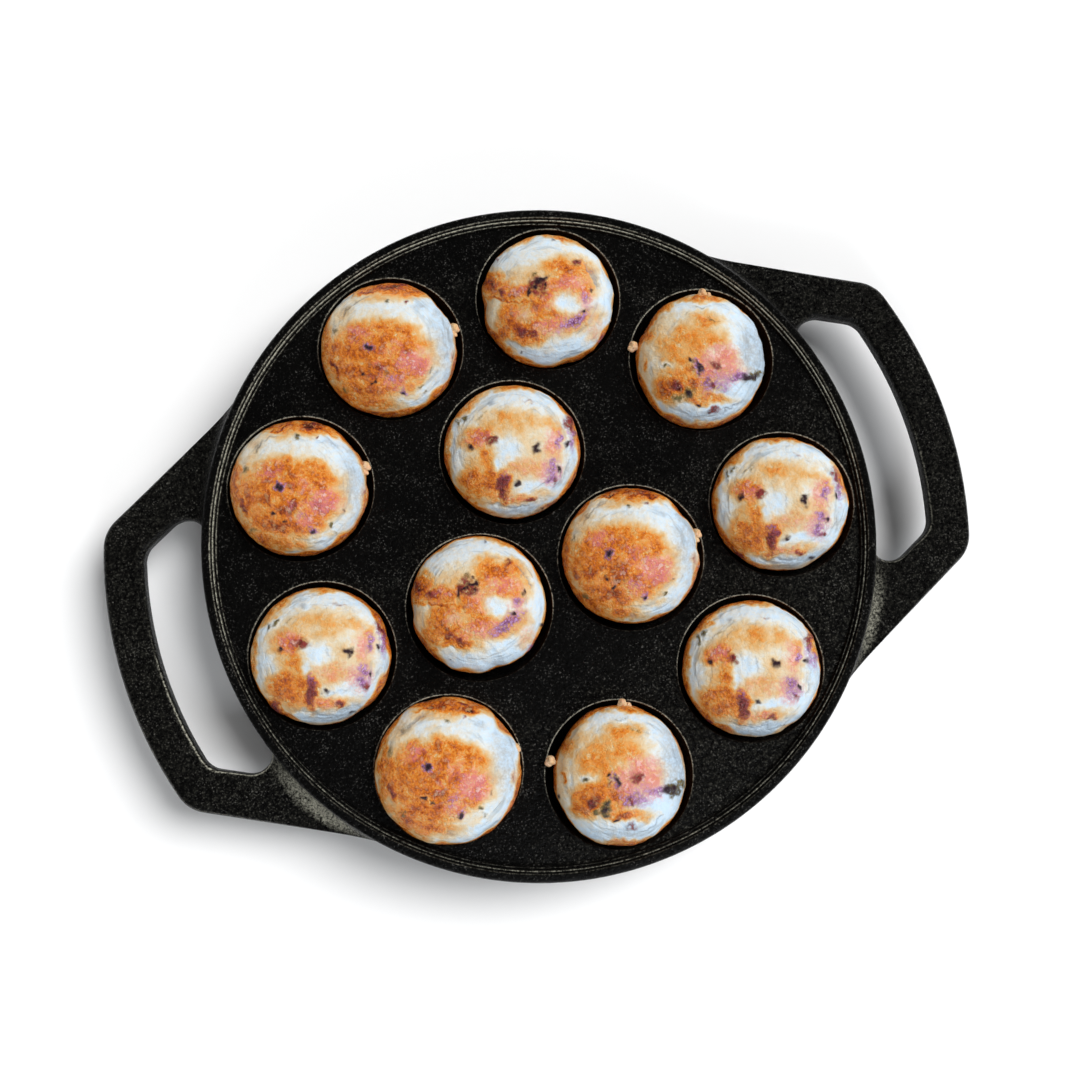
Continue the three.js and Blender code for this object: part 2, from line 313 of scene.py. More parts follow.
# %% Helper for iron pieces
def put_iron(name, points, faces, node, wear_and_sheen):
    """A piece of the casting: iron finish, on the pan's own body."""
    return put_piece(name, points, faces, IRON, "pan", node, {"wear_and_sheen": wear_and_sheen})


def bell(distance, width):
    """A soft bump of height 1: exp(-(distance / width)^2)."""
    return np.exp(-(distance / width) ** 2)


def smooth(value):
    """The smooth step 3 s^2 - 2 s^3 of a value held between 0 and 1."""
    held = np.clip(value, 0, 1)
    return held * held * (3 - 2 * held)


print("a bell falls to", round(float(bell(1, 1)), 2), "at one width from its middle")

# %% [markdown]
# ## Rim and skirt
# The rim is a smooth band around the deck. On its inner side it steps down over two fine beads, which
# catch the light as thin lines, and below it hangs a plain skirt. A bevel modifier on a coarse ring would
# round all edges alike. Here every corner of the profile has its own radius, and the outline is turned.
# The band's inner edge and the two beads carry grey lines, partly wear and partly painted highlight, and
# they are brightest along the far side of the pan as a painted highlight.

# %% Make the rim
BAND_WIDTH = 3.0 * MM
UPPER_BEAD_DROP = 0.85 * MM
LOWER_BEAD_DROP = 1.75 * MM
BEAD_WIDTH = 0.3 * MM
BEAD_SLOPE = 0.4 * MM
GROOVE_WIDTH = 0.3 * MM
GROOVE_DEPTH = 0.35 * MM
SKIRT_WALL = 3.75 * MM
RIM_SINK = 1.0 * MM
SKIRT_INNER_EDGE, SKIRT_OUTER_EDGE = 1.0 * MM, 1.2 * MM
BAND_OUTER_EDGE, BAND_INNER_EDGE = 1.3 * MM, 0.35 * MM
BEAD_OUTER_EDGE, BEAD_INNER_EDGE = 0.12 * MM, 0.14 * MM
SUNK_EDGE = 0.1 * MM
RIM_AROUND = 360

band_inner = RIM_RADIUS - BAND_WIDTH
upper_groove = band_inner - BEAD_SLOPE
upper_bead = upper_groove - GROOVE_WIDTH
lower_groove = upper_bead - BEAD_WIDTH - BEAD_SLOPE
lower_bead = lower_groove - GROOVE_WIDTH
rim_foot = lower_bead - BEAD_WIDTH - BEAD_SLOPE
upper_top = RIM_TOP - UPPER_BEAD_DROP
lower_top = RIM_TOP - LOWER_BEAD_DROP
skirt_inner = RIM_RADIUS - SKIRT_WALL
rim_profile = rounded([
    (skirt_inner, SKIRT_BOTTOM, SKIRT_INNER_EDGE),
    (RIM_RADIUS, SKIRT_BOTTOM, SKIRT_OUTER_EDGE),
    (RIM_RADIUS, RIM_TOP, BAND_OUTER_EDGE),
    (band_inner, RIM_TOP, BAND_INNER_EDGE),
    (upper_groove, upper_top - GROOVE_DEPTH, BEAD_OUTER_EDGE),
    (upper_bead, upper_top, BEAD_OUTER_EDGE),
    (upper_bead - BEAD_WIDTH, upper_top, BEAD_INNER_EDGE),
    (lower_groove, lower_top - GROOVE_DEPTH, BEAD_OUTER_EDGE),
    (lower_bead, lower_top, BEAD_OUTER_EDGE),
    (lower_bead - BEAD_WIDTH, lower_top, BEAD_INNER_EDGE),
    (rim_foot, DECK_TOP, SUNK_EDGE),
    (rim_foot, DECK_TOP - RIM_SINK, SUNK_EDGE),
    (skirt_inner, DECK_TOP - RIM_SINK, SUNK_EDGE),
])
rim_points = turned(rim_profile, RIM_AROUND)
print("rim profile:", len(rim_profile), "points, turned through", RIM_AROUND, "places")

# %% Paint the rim's lines and put it in
HIGHLIGHT_MIDDLE = math.radians(105)
HIGHLIGHT_LEAST = 0.55
RIM_LINES_FROM = DECK_TOP + 0.3 * MM
# Each line: its radius, how strong its wear and painted highlight are, and the width of its bell.
RIM_LINES = [
    (band_inner, 0.52, 0.22 * MM),
    (upper_bead - BEAD_WIDTH / 2, 0.80, 0.25 * MM),
    (lower_bead - BEAD_WIDTH / 2, 0.50, 0.22 * MM),
]

rim_reach = np.hypot(rim_points[:, 0], rim_points[:, 1])
above_deck = rim_points[:, 2] > RIM_LINES_FROM
rim_turn = np.arctan2(rim_points[:, :2] @ PICTURE_UP, rim_points[:, :2] @ PICTURE_RIGHT)
# Painted highlight: the lines are brightest on the far side of the pan, whose inner slopes face the light.
painted_highlight_side = HIGHLIGHT_LEAST + (1 - HIGHLIGHT_LEAST) * smooth(0.5 + 2 * np.cos(rim_turn - HIGHLIGHT_MIDDLE))
rim_wear_and_highlight = painted_highlight_side * sum(most * bell(rim_reach - line, width) for line, most, width in RIM_LINES)
rim = put_iron("cast_rim", rim_points, [grid_faces(len(rim_profile), RIM_AROUND, closed_rows=True)],
               "rim_skirt", np.clip(rim_wear_and_highlight, 0, 1) * above_deck)
print("rim:", len(rim.data.polygons), "faces")

# %% [markdown]
# ## Deck
# The deck is a flat plate with twelve round mouths. Cutting it with booleans would leave ragged edges
# around the holes. Instead each mouth is a small turned profile, a piece of the pit's wall with a rounded
# lip, and the flat web between the mouths is filled by a Delaunay triangulation, above and below. Each lip
# carries a thin grey line, partly wear and partly painted highlight, brightest on the far side of its mouth
# as a painted highlight, and the web carries painted glints toward the lower right.

# %% Work out the pits
PIT_MOUTH = 25 * MM
PIT_FLOOR = 4 * MM
pit_depth = DECK_TOP - PIT_FLOOR
PIT_BALL = (PIT_MOUTH ** 2 + pit_depth ** 2) / (2 * pit_depth)
PIT_BALL_HEIGHT = PIT_FLOOR + PIT_BALL


def hollow(low, high, points):
    """A stretch of the pit's wall as (r, z): r = sqrt(ball^2 - (z - ball height)^2), in even turns."""
    first = math.asin((low - PIT_BALL_HEIGHT) / PIT_BALL)
    last = math.asin((high - PIT_BALL_HEIGHT) / PIT_BALL)
    return arc((0, PIT_BALL_HEIGHT), PIT_BALL, first, last, points)


print("pit ball radius", round(PIT_BALL / MM, 2), "mm")

# %% Make the deck
LIP = 0.35 * MM
LIP_FLAT = 0.2 * MM
MOUTH_AROUND = 144
DECK_AROUND = 288
WALL_POINTS, LIP_POINTS = 9, 8
# The triangulation fills only what lies inside the outline, and takes corners this close as one.
INSIDE_ONLY, SAME_CORNER = 1, 1e-5


def flat_web(hole_radius, height):
    """Triangles that fill the deck's circle around twelve circular holes, at one height."""
    circles = [arc((0, 0), DECK_RADIUS, 0, 2 * np.pi, DECK_AROUND + 1)[:-1]]
    circles += [arc(middle, hole_radius, 0, 2 * np.pi, MOUTH_AROUND + 1)[:-1] for middle in PIT_MIDDLES]
    sizes = [len(circle) for circle in circles]
    starts = np.cumsum([0] + sizes[:-1])
    edges = [start + np.stack([np.arange(size), (np.arange(size) + 1) % size], axis=1)
             for start, size in zip(starts, sizes)]
    flat = np.concatenate(circles) / MM
    corners = [Vector(corner) for corner in flat]
    found = delaunay_2d_cdt(corners, np.concatenate(edges).tolist(), [], INSIDE_ONLY, SAME_CORNER)
    points = np.array([tuple(corner) for corner in found[0]]) * MM
    triangles = np.array(found[2])
    centres = points[triangles].mean(axis=1)
    gap = np.linalg.norm(centres[:, None] - PIT_MIDDLES[None], axis=2).min(axis=1)
    kept = triangles[gap > hole_radius]
    return np.column_stack([points, np.full(len(points), height)]), kept


wall = hollow(DECK_UNDER, DECK_TOP - LIP, WALL_POINTS)
lip_start = wall[-1, 0]
lip_curve = arc((lip_start + LIP, DECK_TOP - LIP), LIP, np.pi, np.pi / 2, LIP_POINTS)
lip_end = lip_start + LIP + LIP_FLAT
mouth_profile = np.vstack([wall, lip_curve[1:], [(lip_end, DECK_TOP)]])
mouths = [turned(mouth_profile, MOUTH_AROUND, middle) for middle in PIT_MIDDLES]
web_top, faces_top = flat_web(lip_end, DECK_TOP)
web_under, faces_under = flat_web(wall[0, 0], DECK_UNDER)
deck_side = turned(np.array([(DECK_RADIUS, DECK_UNDER), (DECK_RADIUS, DECK_TOP)]), DECK_AROUND)
mouth_faces = grid_faces(len(mouth_profile), MOUTH_AROUND)
layers = mouths + [deck_side, web_top, web_under]
layer_faces = [mouth_faces] * len(mouths) + [grid_faces(2, DECK_AROUND), faces_top, faces_under]
layer_starts = np.cumsum([0] + [len(layer) for layer in layers[:-1]])
deck_faces = [faces + start for faces, start in zip(layer_faces, layer_starts)]
deck_points = np.concatenate(layers)
print("deck:", len(mouths), "mouths in a web of", len(faces_top), "triangles")

# %% Paint the deck's lines and glints and put it in
LIP_WEAR_AND_SHEEN, LIP_FAR_HIGHLIGHT, LIP_LINE_WIDTH = 0.20, 0.48, 0.34 * MM
LIP_CREST = 0.4 * LIP
FAR_SIDE, FAR_SLOPE = 0.6, 0.8
WEB_GLINT_MOST, WEB_GLINT_REACH = 0.17, 70 * MM
WEB_GLINT_TOWARD = 0.85 * PICTURE_RIGHT - 0.5 * PICTURE_UP

gaps = np.linalg.norm(deck_points[:, None, :2] - PIT_MIDDLES[None], axis=2)
from_pit, nearest = gaps.min(axis=1), gaps.argmin(axis=1)
upward = (deck_points[:, :2] - PIT_MIDDLES[nearest]) @ PICTURE_UP / from_pit
on_lip = deck_points[:, 2] > DECK_TOP - LIP
lip_ring = bell(from_pit - lip_start - LIP_CREST, LIP_LINE_WIDTH) * on_lip
# Painted highlight: the lip line is brighter on the far side of each mouth, where the lip faces the light.
lip_wear_and_highlight = lip_ring * (LIP_WEAR_AND_SHEEN + LIP_FAR_HIGHLIGHT * smooth(FAR_SIDE + FAR_SLOPE * upward))
# Painted glints: the web turns greyer toward the lower right, where the light glints off its grit.
web_glint = deck_points[:, :2] @ WEB_GLINT_TOWARD / WEB_GLINT_REACH
deck_wear_and_highlight = np.maximum(lip_wear_and_highlight, WEB_GLINT_MOST * smooth(web_glint))
deck = put_iron("cast_deck", deck_points, deck_faces, "deck_plate", deck_wear_and_highlight)
print("deck:", len(deck.data.polygons), "faces")

# %% [markdown]
# ## Pits
# Under every mouth hangs a round bowl: a smooth hollow inside, and outside a belly that ends in a small
# flat foot. A sphere with a solidify modifier would have no foot. The two curves are joined into one
# closed profile and turned about the pit's own axis.

# %% Make the pits
SHELL_LOW, SHELL_HIGH = node_box("pit_shell_inner_1")
SHELL_RADIUS = (SHELL_HIGH[0] - SHELL_LOW[0]) / 2
FOOT_RADIUS = 7 * MM
SHELL_AROUND = 120
BELLY_POINTS, BOWL_POINTS = 22, 26

belly_height = (SHELL_RADIUS ** 2 + DECK_UNDER ** 2 - FOOT_RADIUS ** 2) / (2 * DECK_UNDER)
belly_radius = math.hypot(FOOT_RADIUS, belly_height)
belly_first = math.atan2(-belly_height, FOOT_RADIUS)
belly_last = math.atan2(DECK_UNDER - belly_height, SHELL_RADIUS)
belly = arc((0, belly_height), belly_radius, belly_first, belly_last, BELLY_POINTS)
bowl = hollow(PIT_FLOOR, DECK_UNDER, BOWL_POINTS)[::-1]
shell_profile = np.vstack([[(0, 0)], belly, bowl])
shell_profile[:, 0] = np.maximum(shell_profile[:, 0], 0)
for label, middle in zip(PIT_LABELS, PIT_MIDDLES):
    shell_points = turned(shell_profile, SHELL_AROUND, middle)
    shell_faces = [grid_faces(len(shell_profile), SHELL_AROUND)]
    shell = put_iron("cast_pit_" + label, shell_points, shell_faces, "pit_shell_" + label,
                     np.zeros(len(shell_points)))
print("pits:", len(PIT_LABELS), "of", len(shell.data.polygons), "faces")

# %% [markdown]
# ## Handles
# A handle is a flat loop cast on to the skirt: wide roots that flow into the wall, a slot for the fingers,
# and a grip that follows the pan's own circle. A curve with a bevel can't hold this, because the loop is
# wide at its roots and narrow at the grip. So two rows of points are strung along its outer edge and its
# slot edge, stretch by stretch, and a flat section with rounded edges is carried between them. The top
# face is evenly gritty. Its upper edges carry grey lines, partly wear and partly painted highlight, and the
# coves where the near roots meet the wall carry a painted sheen. Both are brighter at the near roots,
# which face the light.

# %% Draw the two edges of a handle
HAND_GAP = 22 * MM
SIDE_WIDTH = 15 * MM
HANDLE_HALF_WIDTH = 50 * MM
ROOT_HALF_ANGLE = math.radians(44.5)
HANDLE_CORNER = 13 * MM
ROOT_FILLET = 30 * MM
SLOT_CORNER = 8 * MM
SLOT_ROOT_FILLET = 8 * MM
ROOT_SINK = 0.7 * MM
FILLET_POINTS, SIDE_POINTS, CORNER_POINTS, GRIP_POINTS = 18, 40, 16, 26
ROOT_CROWDING = 1.4


def heading(point):
    """The angle at which a point lies, seen from the pan's axis."""
    return math.atan2(point[1], point[0])


def handle_edges():
    """Outer edge and slot edge of the loop along +X, from one root over the grip to the other root.

    Each half is strung from a root fillet, a straight side, a corner arc and an arc about the pan's axis.
    A fillet's centre is where a parallel of the side edge meets a circle about that axis. Along the side
    the points lie closer toward the root, at shares t^ROOT_CROWDING of its length.
    """
    root = RIM_RADIUS * np.array([math.cos(ROOT_HALF_ANGLE), math.sin(ROOT_HALF_ANGLE)])
    tip = np.array([math.sqrt(HANDLE_RADIUS ** 2 - HANDLE_HALF_WIDTH ** 2), HANDLE_HALF_WIDTH])
    along = (tip - root) / np.linalg.norm(tip - root)
    inward = np.array([along[1], -along[0]])
    side = heading(-inward)

    def corner_centre(offset, radius):
        start = root + inward * offset
        slope = start @ along
        return start + along * (math.sqrt(slope ** 2 - start @ start + radius ** 2) - slope)

    def half(fillet, fillet_radius, side_turn, corner, corner_radius, reach):
        bend = arc(fillet, fillet_radius, heading(fillet) + np.pi, side_turn, FILLET_POINTS)
        turn = arc(corner, corner_radius, side, heading(corner), CORNER_POINTS)
        share = np.linspace(0, 1, SIDE_POINTS + 2)[1:-1, None] ** ROOT_CROWDING
        straight = bend[-1] + (turn[0] - bend[-1]) * share
        grip = arc((0, 0), reach, heading(corner), 0, GRIP_POINTS)
        return np.vstack([bend, straight, turn, grip[1:]])

    sunk = RIM_RADIUS - ROOT_SINK
    slot_radius = RIM_RADIUS + HAND_GAP
    outer = half(corner_centre(-ROOT_FILLET, sunk + ROOT_FILLET), ROOT_FILLET, side + np.pi,
                 corner_centre(HANDLE_CORNER, HANDLE_RADIUS - HANDLE_CORNER), HANDLE_CORNER, HANDLE_RADIUS)
    inner = half(corner_centre(SIDE_WIDTH + SLOT_ROOT_FILLET, sunk + SLOT_ROOT_FILLET), SLOT_ROOT_FILLET,
                 side, corner_centre(SIDE_WIDTH + SLOT_CORNER, slot_radius - SLOT_CORNER), SLOT_CORNER,
                 slot_radius)
    mirror = np.array([1, -1])
    return [np.vstack([edge, edge[-2::-1] * mirror]) for edge in (outer, inner)]


outer_edge, slot_edge = handle_edges()
print("handle edges:", len(outer_edge), "points each, grip", round(HANDLE_RADIUS / MM, 1), "mm out")

# %% Carry the section along the loop
HANDLE_THICKNESS = 7 * MM
HANDLE_EDGE = 2.0 * MM
COVE = 6.5 * MM
EDGE_POINTS = 7
FLAT_POINTS = 18


def handle_section():
    """The closed section as four rows: offset shares, width shares, depth shares, and 1 above or 0 below.

    A section point lies offset * edge + width share * width in from the slot edge, and depth * edge below
    the top face or above the bottom face. The edge's quarter circle gives 1 - cos a and 1 - sin a.
    """
    quarter = np.linspace(0, np.pi / 2, EDGE_POINTS)
    flat = np.linspace(0, 1, FLAT_POINTS)[1:-1]
    offset = np.concatenate([1 - np.cos(quarter), 1 - 2 * flat, np.cos(quarter[::-1]) - 1])
    width = np.concatenate([np.zeros(EDGE_POINTS), flat, np.ones(EDGE_POINTS)])
    depth = np.concatenate([1 - np.sin(quarter), np.zeros(len(flat)), 1 - np.sin(quarter[::-1])])
    upper = np.stack([offset, width, depth, np.ones(len(depth))])
    lower = np.stack([offset, width, depth, np.zeros(len(depth))])
    return np.concatenate([upper, lower[:, ::-1]], axis=1)


def cove_height(reach):
    """Rise of the top face near the wall: COVE - sqrt(COVE^2 - (COVE - gap)^2), and 0 further out."""
    left = COVE - np.clip(reach - RIM_RADIUS, 0, COVE)
    return COVE - np.sqrt(COVE ** 2 - left ** 2)


def handle_surface():
    """Points of the loop along +X, one row for each pair of edge points, with their reach and share across.

    Radius and angle run evenly from the slot edge's to the outer edge's, so a row bends with the pan.
    """
    offset, share, depth, above = handle_section()
    reach_in, reach_out = np.hypot(*slot_edge.T)[:, None], np.hypot(*outer_edge.T)[:, None]
    turn_in = np.arctan2(slot_edge[:, 1], slot_edge[:, 0])[:, None]
    turn_out = np.arctan2(outer_edge[:, 1], outer_edge[:, 0])[:, None]
    width = np.linalg.norm(outer_edge - slot_edge, axis=1)[:, None]
    across = offset * HANDLE_EDGE / width + share
    reach = reach_in + (reach_out - reach_in) * across
    turn = turn_in + (turn_out - turn_in) * across
    top = HANDLE_BOTTOM + HANDLE_THICKNESS + cove_height(reach) - depth * HANDLE_EDGE
    height = np.where(above > 0, top, HANDLE_BOTTOM + depth * HANDLE_EDGE)
    return np.stack([reach * np.cos(turn), reach * np.sin(turn), height], axis=-1), reach, across


loop, loop_reach, loop_across = handle_surface()
rows, columns = loop.shape[:2]
print("handle loop:", rows, "sections of", columns, "points")

# %% Paint wear and sheen on the loop
ROOT_SHEEN, ROOT_REACH, ROOT_START = 0.65, 6 * MM, 2.2 * MM
ROOT_FADE, ROOT_BEGIN = 1.6, 0.2
ROOT_MIDDLE, ROOT_SPREAD = 0.45, 0.5
SLOT_SIDE_LINE, OUTER_SIDE_LINE = 0.7, 0.35
EDGE_PLACE, EDGE_SPREAD = 0.3, 0.16


def handle_wear_and_sheen(reach, across):
    """Grey of the loop: a line along both upper edges, and a painted sheen in the middle of the cove at each
    root.

    The line is a bell over the edge's depth, partly rubbing and partly painted highlight. The cove's painted
    sheen is a bell over the share across, and fades both at the wall itself and further out.
    """
    _, share, depth, above = handle_section()
    gap = reach - RIM_RADIUS
    near_wall = smooth(ROOT_FADE - gap / ROOT_REACH) * smooth(ROOT_BEGIN + gap / ROOT_START)
    # Painted sheen: the grey band in the cove stands for light reflected off the curved root.
    root_sheen = ROOT_SHEEN * above * near_wall * bell(across - ROOT_MIDDLE, ROOT_SPREAD)
    side_line = np.where(share < 0.5, SLOT_SIDE_LINE, OUTER_SIDE_LINE)
    # The edge line is partly wear and partly painted highlight.
    edge_wear_and_highlight = above * bell(depth - EDGE_PLACE, EDGE_SPREAD) * side_line
    return np.maximum(edge_wear_and_highlight, root_sheen)


loop_wear_and_sheen = handle_wear_and_sheen(loop_reach, loop_across)
loop_above = np.tile(handle_section()[3], rows)
print("handle loop: most wear", round(float(loop_wear_and_sheen.max()), 2))

# %% Turn the loop to both sides
NEAR_REACH = 40 * MM
FAR_SHARE = 0.3
TOP_GRIT = 0.17
# Each side: its name, the sign that turns the loop there, and its share of the wear and painted sheen.
SIDES = [("right", 1, 0.66), ("left", -1, 1.0)]

first_end = np.arange(columns)[None]
last_end = first_end + (rows - 1) * columns
loop_faces = [grid_faces(rows, columns), first_end, last_end]
for side_name, facing, wear_and_sheen_share in SIDES:
    turned_loop = loop.reshape(-1, 3) * np.array([facing, facing, 1])
    # Painted light: the near roots and edges, which face the light, are brighter than the far ones.
    near = FAR_SHARE + (1 - FAR_SHARE) * smooth(0.5 - turned_loop[:, 1] / NEAR_REACH)
    wear_and_sheen = np.maximum(wear_and_sheen_share * loop_wear_and_sheen.ravel() * near, TOP_GRIT * loop_above)
    handle = put_iron("cast_handle_" + side_name, turned_loop, loop_faces, "handle_" + side_name, wear_and_sheen)
print("handles:", len(SIDES), "of", len(handle.data.polygons), "faces")

# %% [markdown]
# ## Baked crust
# A paniyaram is batter with onion, chilli, curry leaf and mustard seed, fried in its pit and turned over
# once. Its skin runs from bluish white through cream and orange to dark brown, and the bits in it are
# purple, red, green or black. Which colour lies where is a matter of each ball, so the meshes carry masks
# and the finish only turns masks into colour. Fine noise breaks up every border, as frying does. Where
# the skin stayed pale, it shrank into fine wrinkles that run round the ball, so their noise is read from
# a mark named swirl, in which one number counts rings from the top outward.

# %% Colours of the crust
BROWNING = [
    (0.00, colour(0.57, 0.72, 0.86)),
    (0.06, colour(0.67, 0.71, 0.71)),
    (0.14, colour(0.69, 0.57, 0.38)),
    (0.24, colour(0.68, 0.39, 0.14)),
    (0.36, colour(0.71, 0.27, 0.044)),
    (0.48, colour(0.66, 0.18, 0.014)),
    (0.60, colour(0.47, 0.105, 0.010)),
    (0.72, colour(0.29, 0.050, 0.010)),
    (0.84, colour(0.14, 0.025, 0.008)),
    (1.00, colour(0.04, 0.007, 0.005)),
]
ONION = [
    (0.0, colour(0.06, 0.014, 0.06)),
    (0.5, colour(0.25, 0.085, 0.26)),
    (1.0, colour(0.50, 0.32, 0.55)),
]
CHILLI = [(0.0, colour(0.06, 0.008, 0.012)), (1.0, colour(0.26, 0.042, 0.036))]
LEAF = [(0.0, colour(0.014, 0.011, 0.008)), (1.0, colour(0.19, 0.15, 0.05))]
MUSTARD = colour(0.026, 0.012, 0.018)
BLUSH = colour(0.66, 0.20, 0.25)
PAINTED_GLINT = colour(0.82, 0.45, 0.18)
PINK_PAINTED_GLINT = colour(0.80, 0.54, 0.52)
WRINKLED = colour(0.30, 0.35, 0.38)
GREY_AND_COOL_SHADE = colour(0.18, 0.21, 0.25)
print("browning:", len(BROWNING), "stops from white to nearly black")


# %% Helpers for the crust
def ramp(tree, value, stops):
    """A colour that runs through the stops, each a place between 0 and 1 with its colour."""
    made = shader(tree, "ShaderNodeValToRGB", {"Fac": value})
    elements = made.color_ramp.elements
    elements[0].color = stops[0][1]
    elements[-1].color = stops[-1][1]
    for place, shade in stops[1:-1]:
        elements.new(place).color = shade
    return made.outputs["Color"]


def swing(tree, value, size):
    """Noise that swings about 0: (value - 1/2) * size."""
    return maths(tree, "MULTIPLY", maths(tree, "SUBTRACT", value, 0.5), size)


def three_masks(tree, colour_socket):
    """The three numbers that one colour mark holds."""
    return shader(tree, "ShaderNodeSeparateColor", {"Color": colour_socket}).outputs


def frayed(tree, grain, mask, spread, low, high, most):
    """A mask with a ragged border: mask * (1 + noise) as a smooth step between low and high, up to most."""
    torn = maths(tree, "ADD", swing(tree, grain["crisp"], spread), swing(tree, grain["crumb"], spread))
    return rise(tree, maths(tree, "ADD", mask, maths(tree, "MULTIPLY", torn, mask)), low, high, 0.0, most)


# %% Brown and wrinkle the skin
# Each noise: the size of its lumps, and its detail.
GRAIN = {
    "crumb": (1.9 * MM, 3.0), "crisp": (0.8 * MM, 2.0), "blotch": (3.1 * MM, 3.0), "tinge": (2.3 * MM, 3.0),
}
CRUMB_MOTTLE, CRISP_MOTTLE, BLOTCH_MOTTLE = 0.22, 0.18, 0.28
LIVELY_SPAN = (0.18, 0.48, 0.15, 1.0)
TINGE_BLUSH, CRISP_BLUSH = 1.2, 0.9
BLUSH_SPAN = (0.1, 1.2, 0.0, 0.65)
PAINTED_GLINT_SPAN = (0.6, 0.95, 0.0, 0.6)
PINK_PAINTED_GLINT_SPAN = (0.62, 0.95, 0.0, 0.6)
RINGS = 13.0
WRINKLE_SPAN = (0.5, 0.72)
PALE_SPAN = (0.1, 0.34, 0.5, 0.0)
OUTER_SPAN = (0.45 * RINGS, 0.75 * RINGS)


def skin_grain(tree, place):
    """The skin's noises by name, of the sizes and details in GRAIN, each stretched to run from 0 to 1."""
    cloudy = {name: noise(tree, place, size, detail) for name, (size, detail) in GRAIN.items()}
    return {name: rise(tree, value, *NOISE_SPAN) for name, value in cloudy.items()}


def browned_skin(tree, grain, heat, pink):
    """The ramp's colour at heat + mottle, then blushed, then painted glints where the crumb stands out.

    The mottle grows with the heat, because white skin is even. The blush is pink plus noise, and that noise
    is scaled by the heat and by the pink itself.
    """
    crumb, crisp = grain["crumb"], grain["crisp"]
    fine = maths(tree, "ADD", swing(tree, crumb, CRUMB_MOTTLE), swing(tree, crisp, CRISP_MOTTLE))
    mottle = maths(tree, "ADD", swing(tree, grain["blotch"], BLOTCH_MOTTLE), fine)
    lively = maths(tree, "MULTIPLY", mottle, rise(tree, heat, *LIVELY_SPAN))
    skin = ramp(tree, maths(tree, "ADD", heat, lively), BROWNING)
    blush = maths(tree, "ADD", pink, maths(tree, "MULTIPLY", swing(tree, grain["tinge"], TINGE_BLUSH), heat))
    blush = maths(tree, "ADD", blush, maths(tree, "MULTIPLY", swing(tree, crisp, CRISP_BLUSH), pink))
    skin = blend(tree, rise(tree, blush, *BLUSH_SPAN), skin, BLUSH)
    # Painted glints: light peach and pink specks where the crumb stands out stand for glints of light on the
    # crust.
    painted_glint = maths(tree, "MULTIPLY", rise(tree, crumb, *PAINTED_GLINT_SPAN), heat)
    skin = blend(tree, painted_glint, skin, PAINTED_GLINT)
    pink_painted_glint = maths(tree, "MULTIPLY", rise(tree, crumb, *PINK_PAINTED_GLINT_SPAN), pink)
    return blend(tree, pink_painted_glint, skin, PINK_PAINTED_GLINT)


def wrinkles(tree, heat):
    """Noise over the swirl mark, stepped into thin lines, that fades on browned skin and toward the top."""
    swirl = read_mark(tree, "swirl")
    ring_place = three_masks(tree, swirl["Color"])[0]
    lines = rise(tree, noise(tree, swirl["Vector"], 1.0, 2.0), *WRINKLE_SPAN)
    lines = maths(tree, "MULTIPLY", lines, rise(tree, heat, *PALE_SPAN))
    return maths(tree, "MULTIPLY", lines, rise(tree, ring_place, *OUTER_SPAN))


print("grain:", {name: round(size / MM, 1) for name, (size, detail) in GRAIN.items()}, "mm")

# %% The crust finish
# Each layer: how ragged its border is, where its step begins and ends, and how much of it shows at most.
FRAYED = {
    "grey": (0.4, 0.1, 1.2, 0.6),
    "onion": (0.8, 0.05, 0.95, 0.95),
    "chilli": (0.5, 0.1, 1.05, 1.0),
    "herb": (0.6, 0.1, 1.05, 1.0),
    "seed": (0.3, 0.05, 0.95, 1.0),
}
CRUST_ROUGHNESS = (0.1, 0.5, 0.36, 0.22)
FAT_SHEEN = 0.7
CRISP_RELIEF = (0.0, 0.5, 0.12, 0.5)
CRUMB_RELIEF = 0.3


def crust_finish():
    """Batter skin, browned and wrinkled, under layers of grey and painted cool shade, onion, chilli, leaf and
    mustard seed.
    """
    material, tree, surface = new_finish("baked_crust")
    grain = skin_grain(tree, shader(tree, "ShaderNodeTexCoord").outputs["Object"])
    heat, pink, grey = three_masks(tree, read_mark(tree, "bake")["Color"])
    onion, chilli, herb = three_masks(tree, read_mark(tree, "bits")["Color"])
    lines = wrinkles(tree, heat)
    skin = blend(tree, lines, browned_skin(tree, grain, heat, pink), WRINKLED)
    layers_on_skin = [
        # Painted shade: the grey layer is mostly cool shade painted on the balls' edges and in their folds,
        # with a few real grey spots.
        ("grey", grey, GREY_AND_COOL_SHADE),
        ("onion", onion, ramp(tree, grain["crisp"], ONION)),
        ("chilli", chilli, ramp(tree, grain["crisp"], CHILLI)),
        ("herb", herb, ramp(tree, grain["crisp"], LEAF)),
        ("seed", read_mark(tree, "seed")["Fac"], MUSTARD),
    ]
    for kind, mask, shade in layers_on_skin:
        skin = blend(tree, frayed(tree, grain, mask, *FRAYED[kind]), skin, shade)
    tree.links.new(skin, surface.inputs["Base Color"])
    tree.links.new(rise(tree, heat, *CRUST_ROUGHNESS), surface.inputs["Roughness"])
    surface.inputs["Specular IOR Level"].default_value = FAT_SHEEN
    crisp_relief = maths(tree, "MULTIPLY", grain["crisp"], rise(tree, heat, *CRISP_RELIEF))
    relief = maths(tree, "ADD", crisp_relief, maths(tree, "MULTIPLY", grain["crumb"], CRUMB_RELIEF))
    emboss(tree, surface, maths(tree, "SUBTRACT", relief, lines))
    return material


CRUST = crust_finish()
print("finish:", CRUST.name, "with", len(CRUST.node_tree.nodes), "nodes")

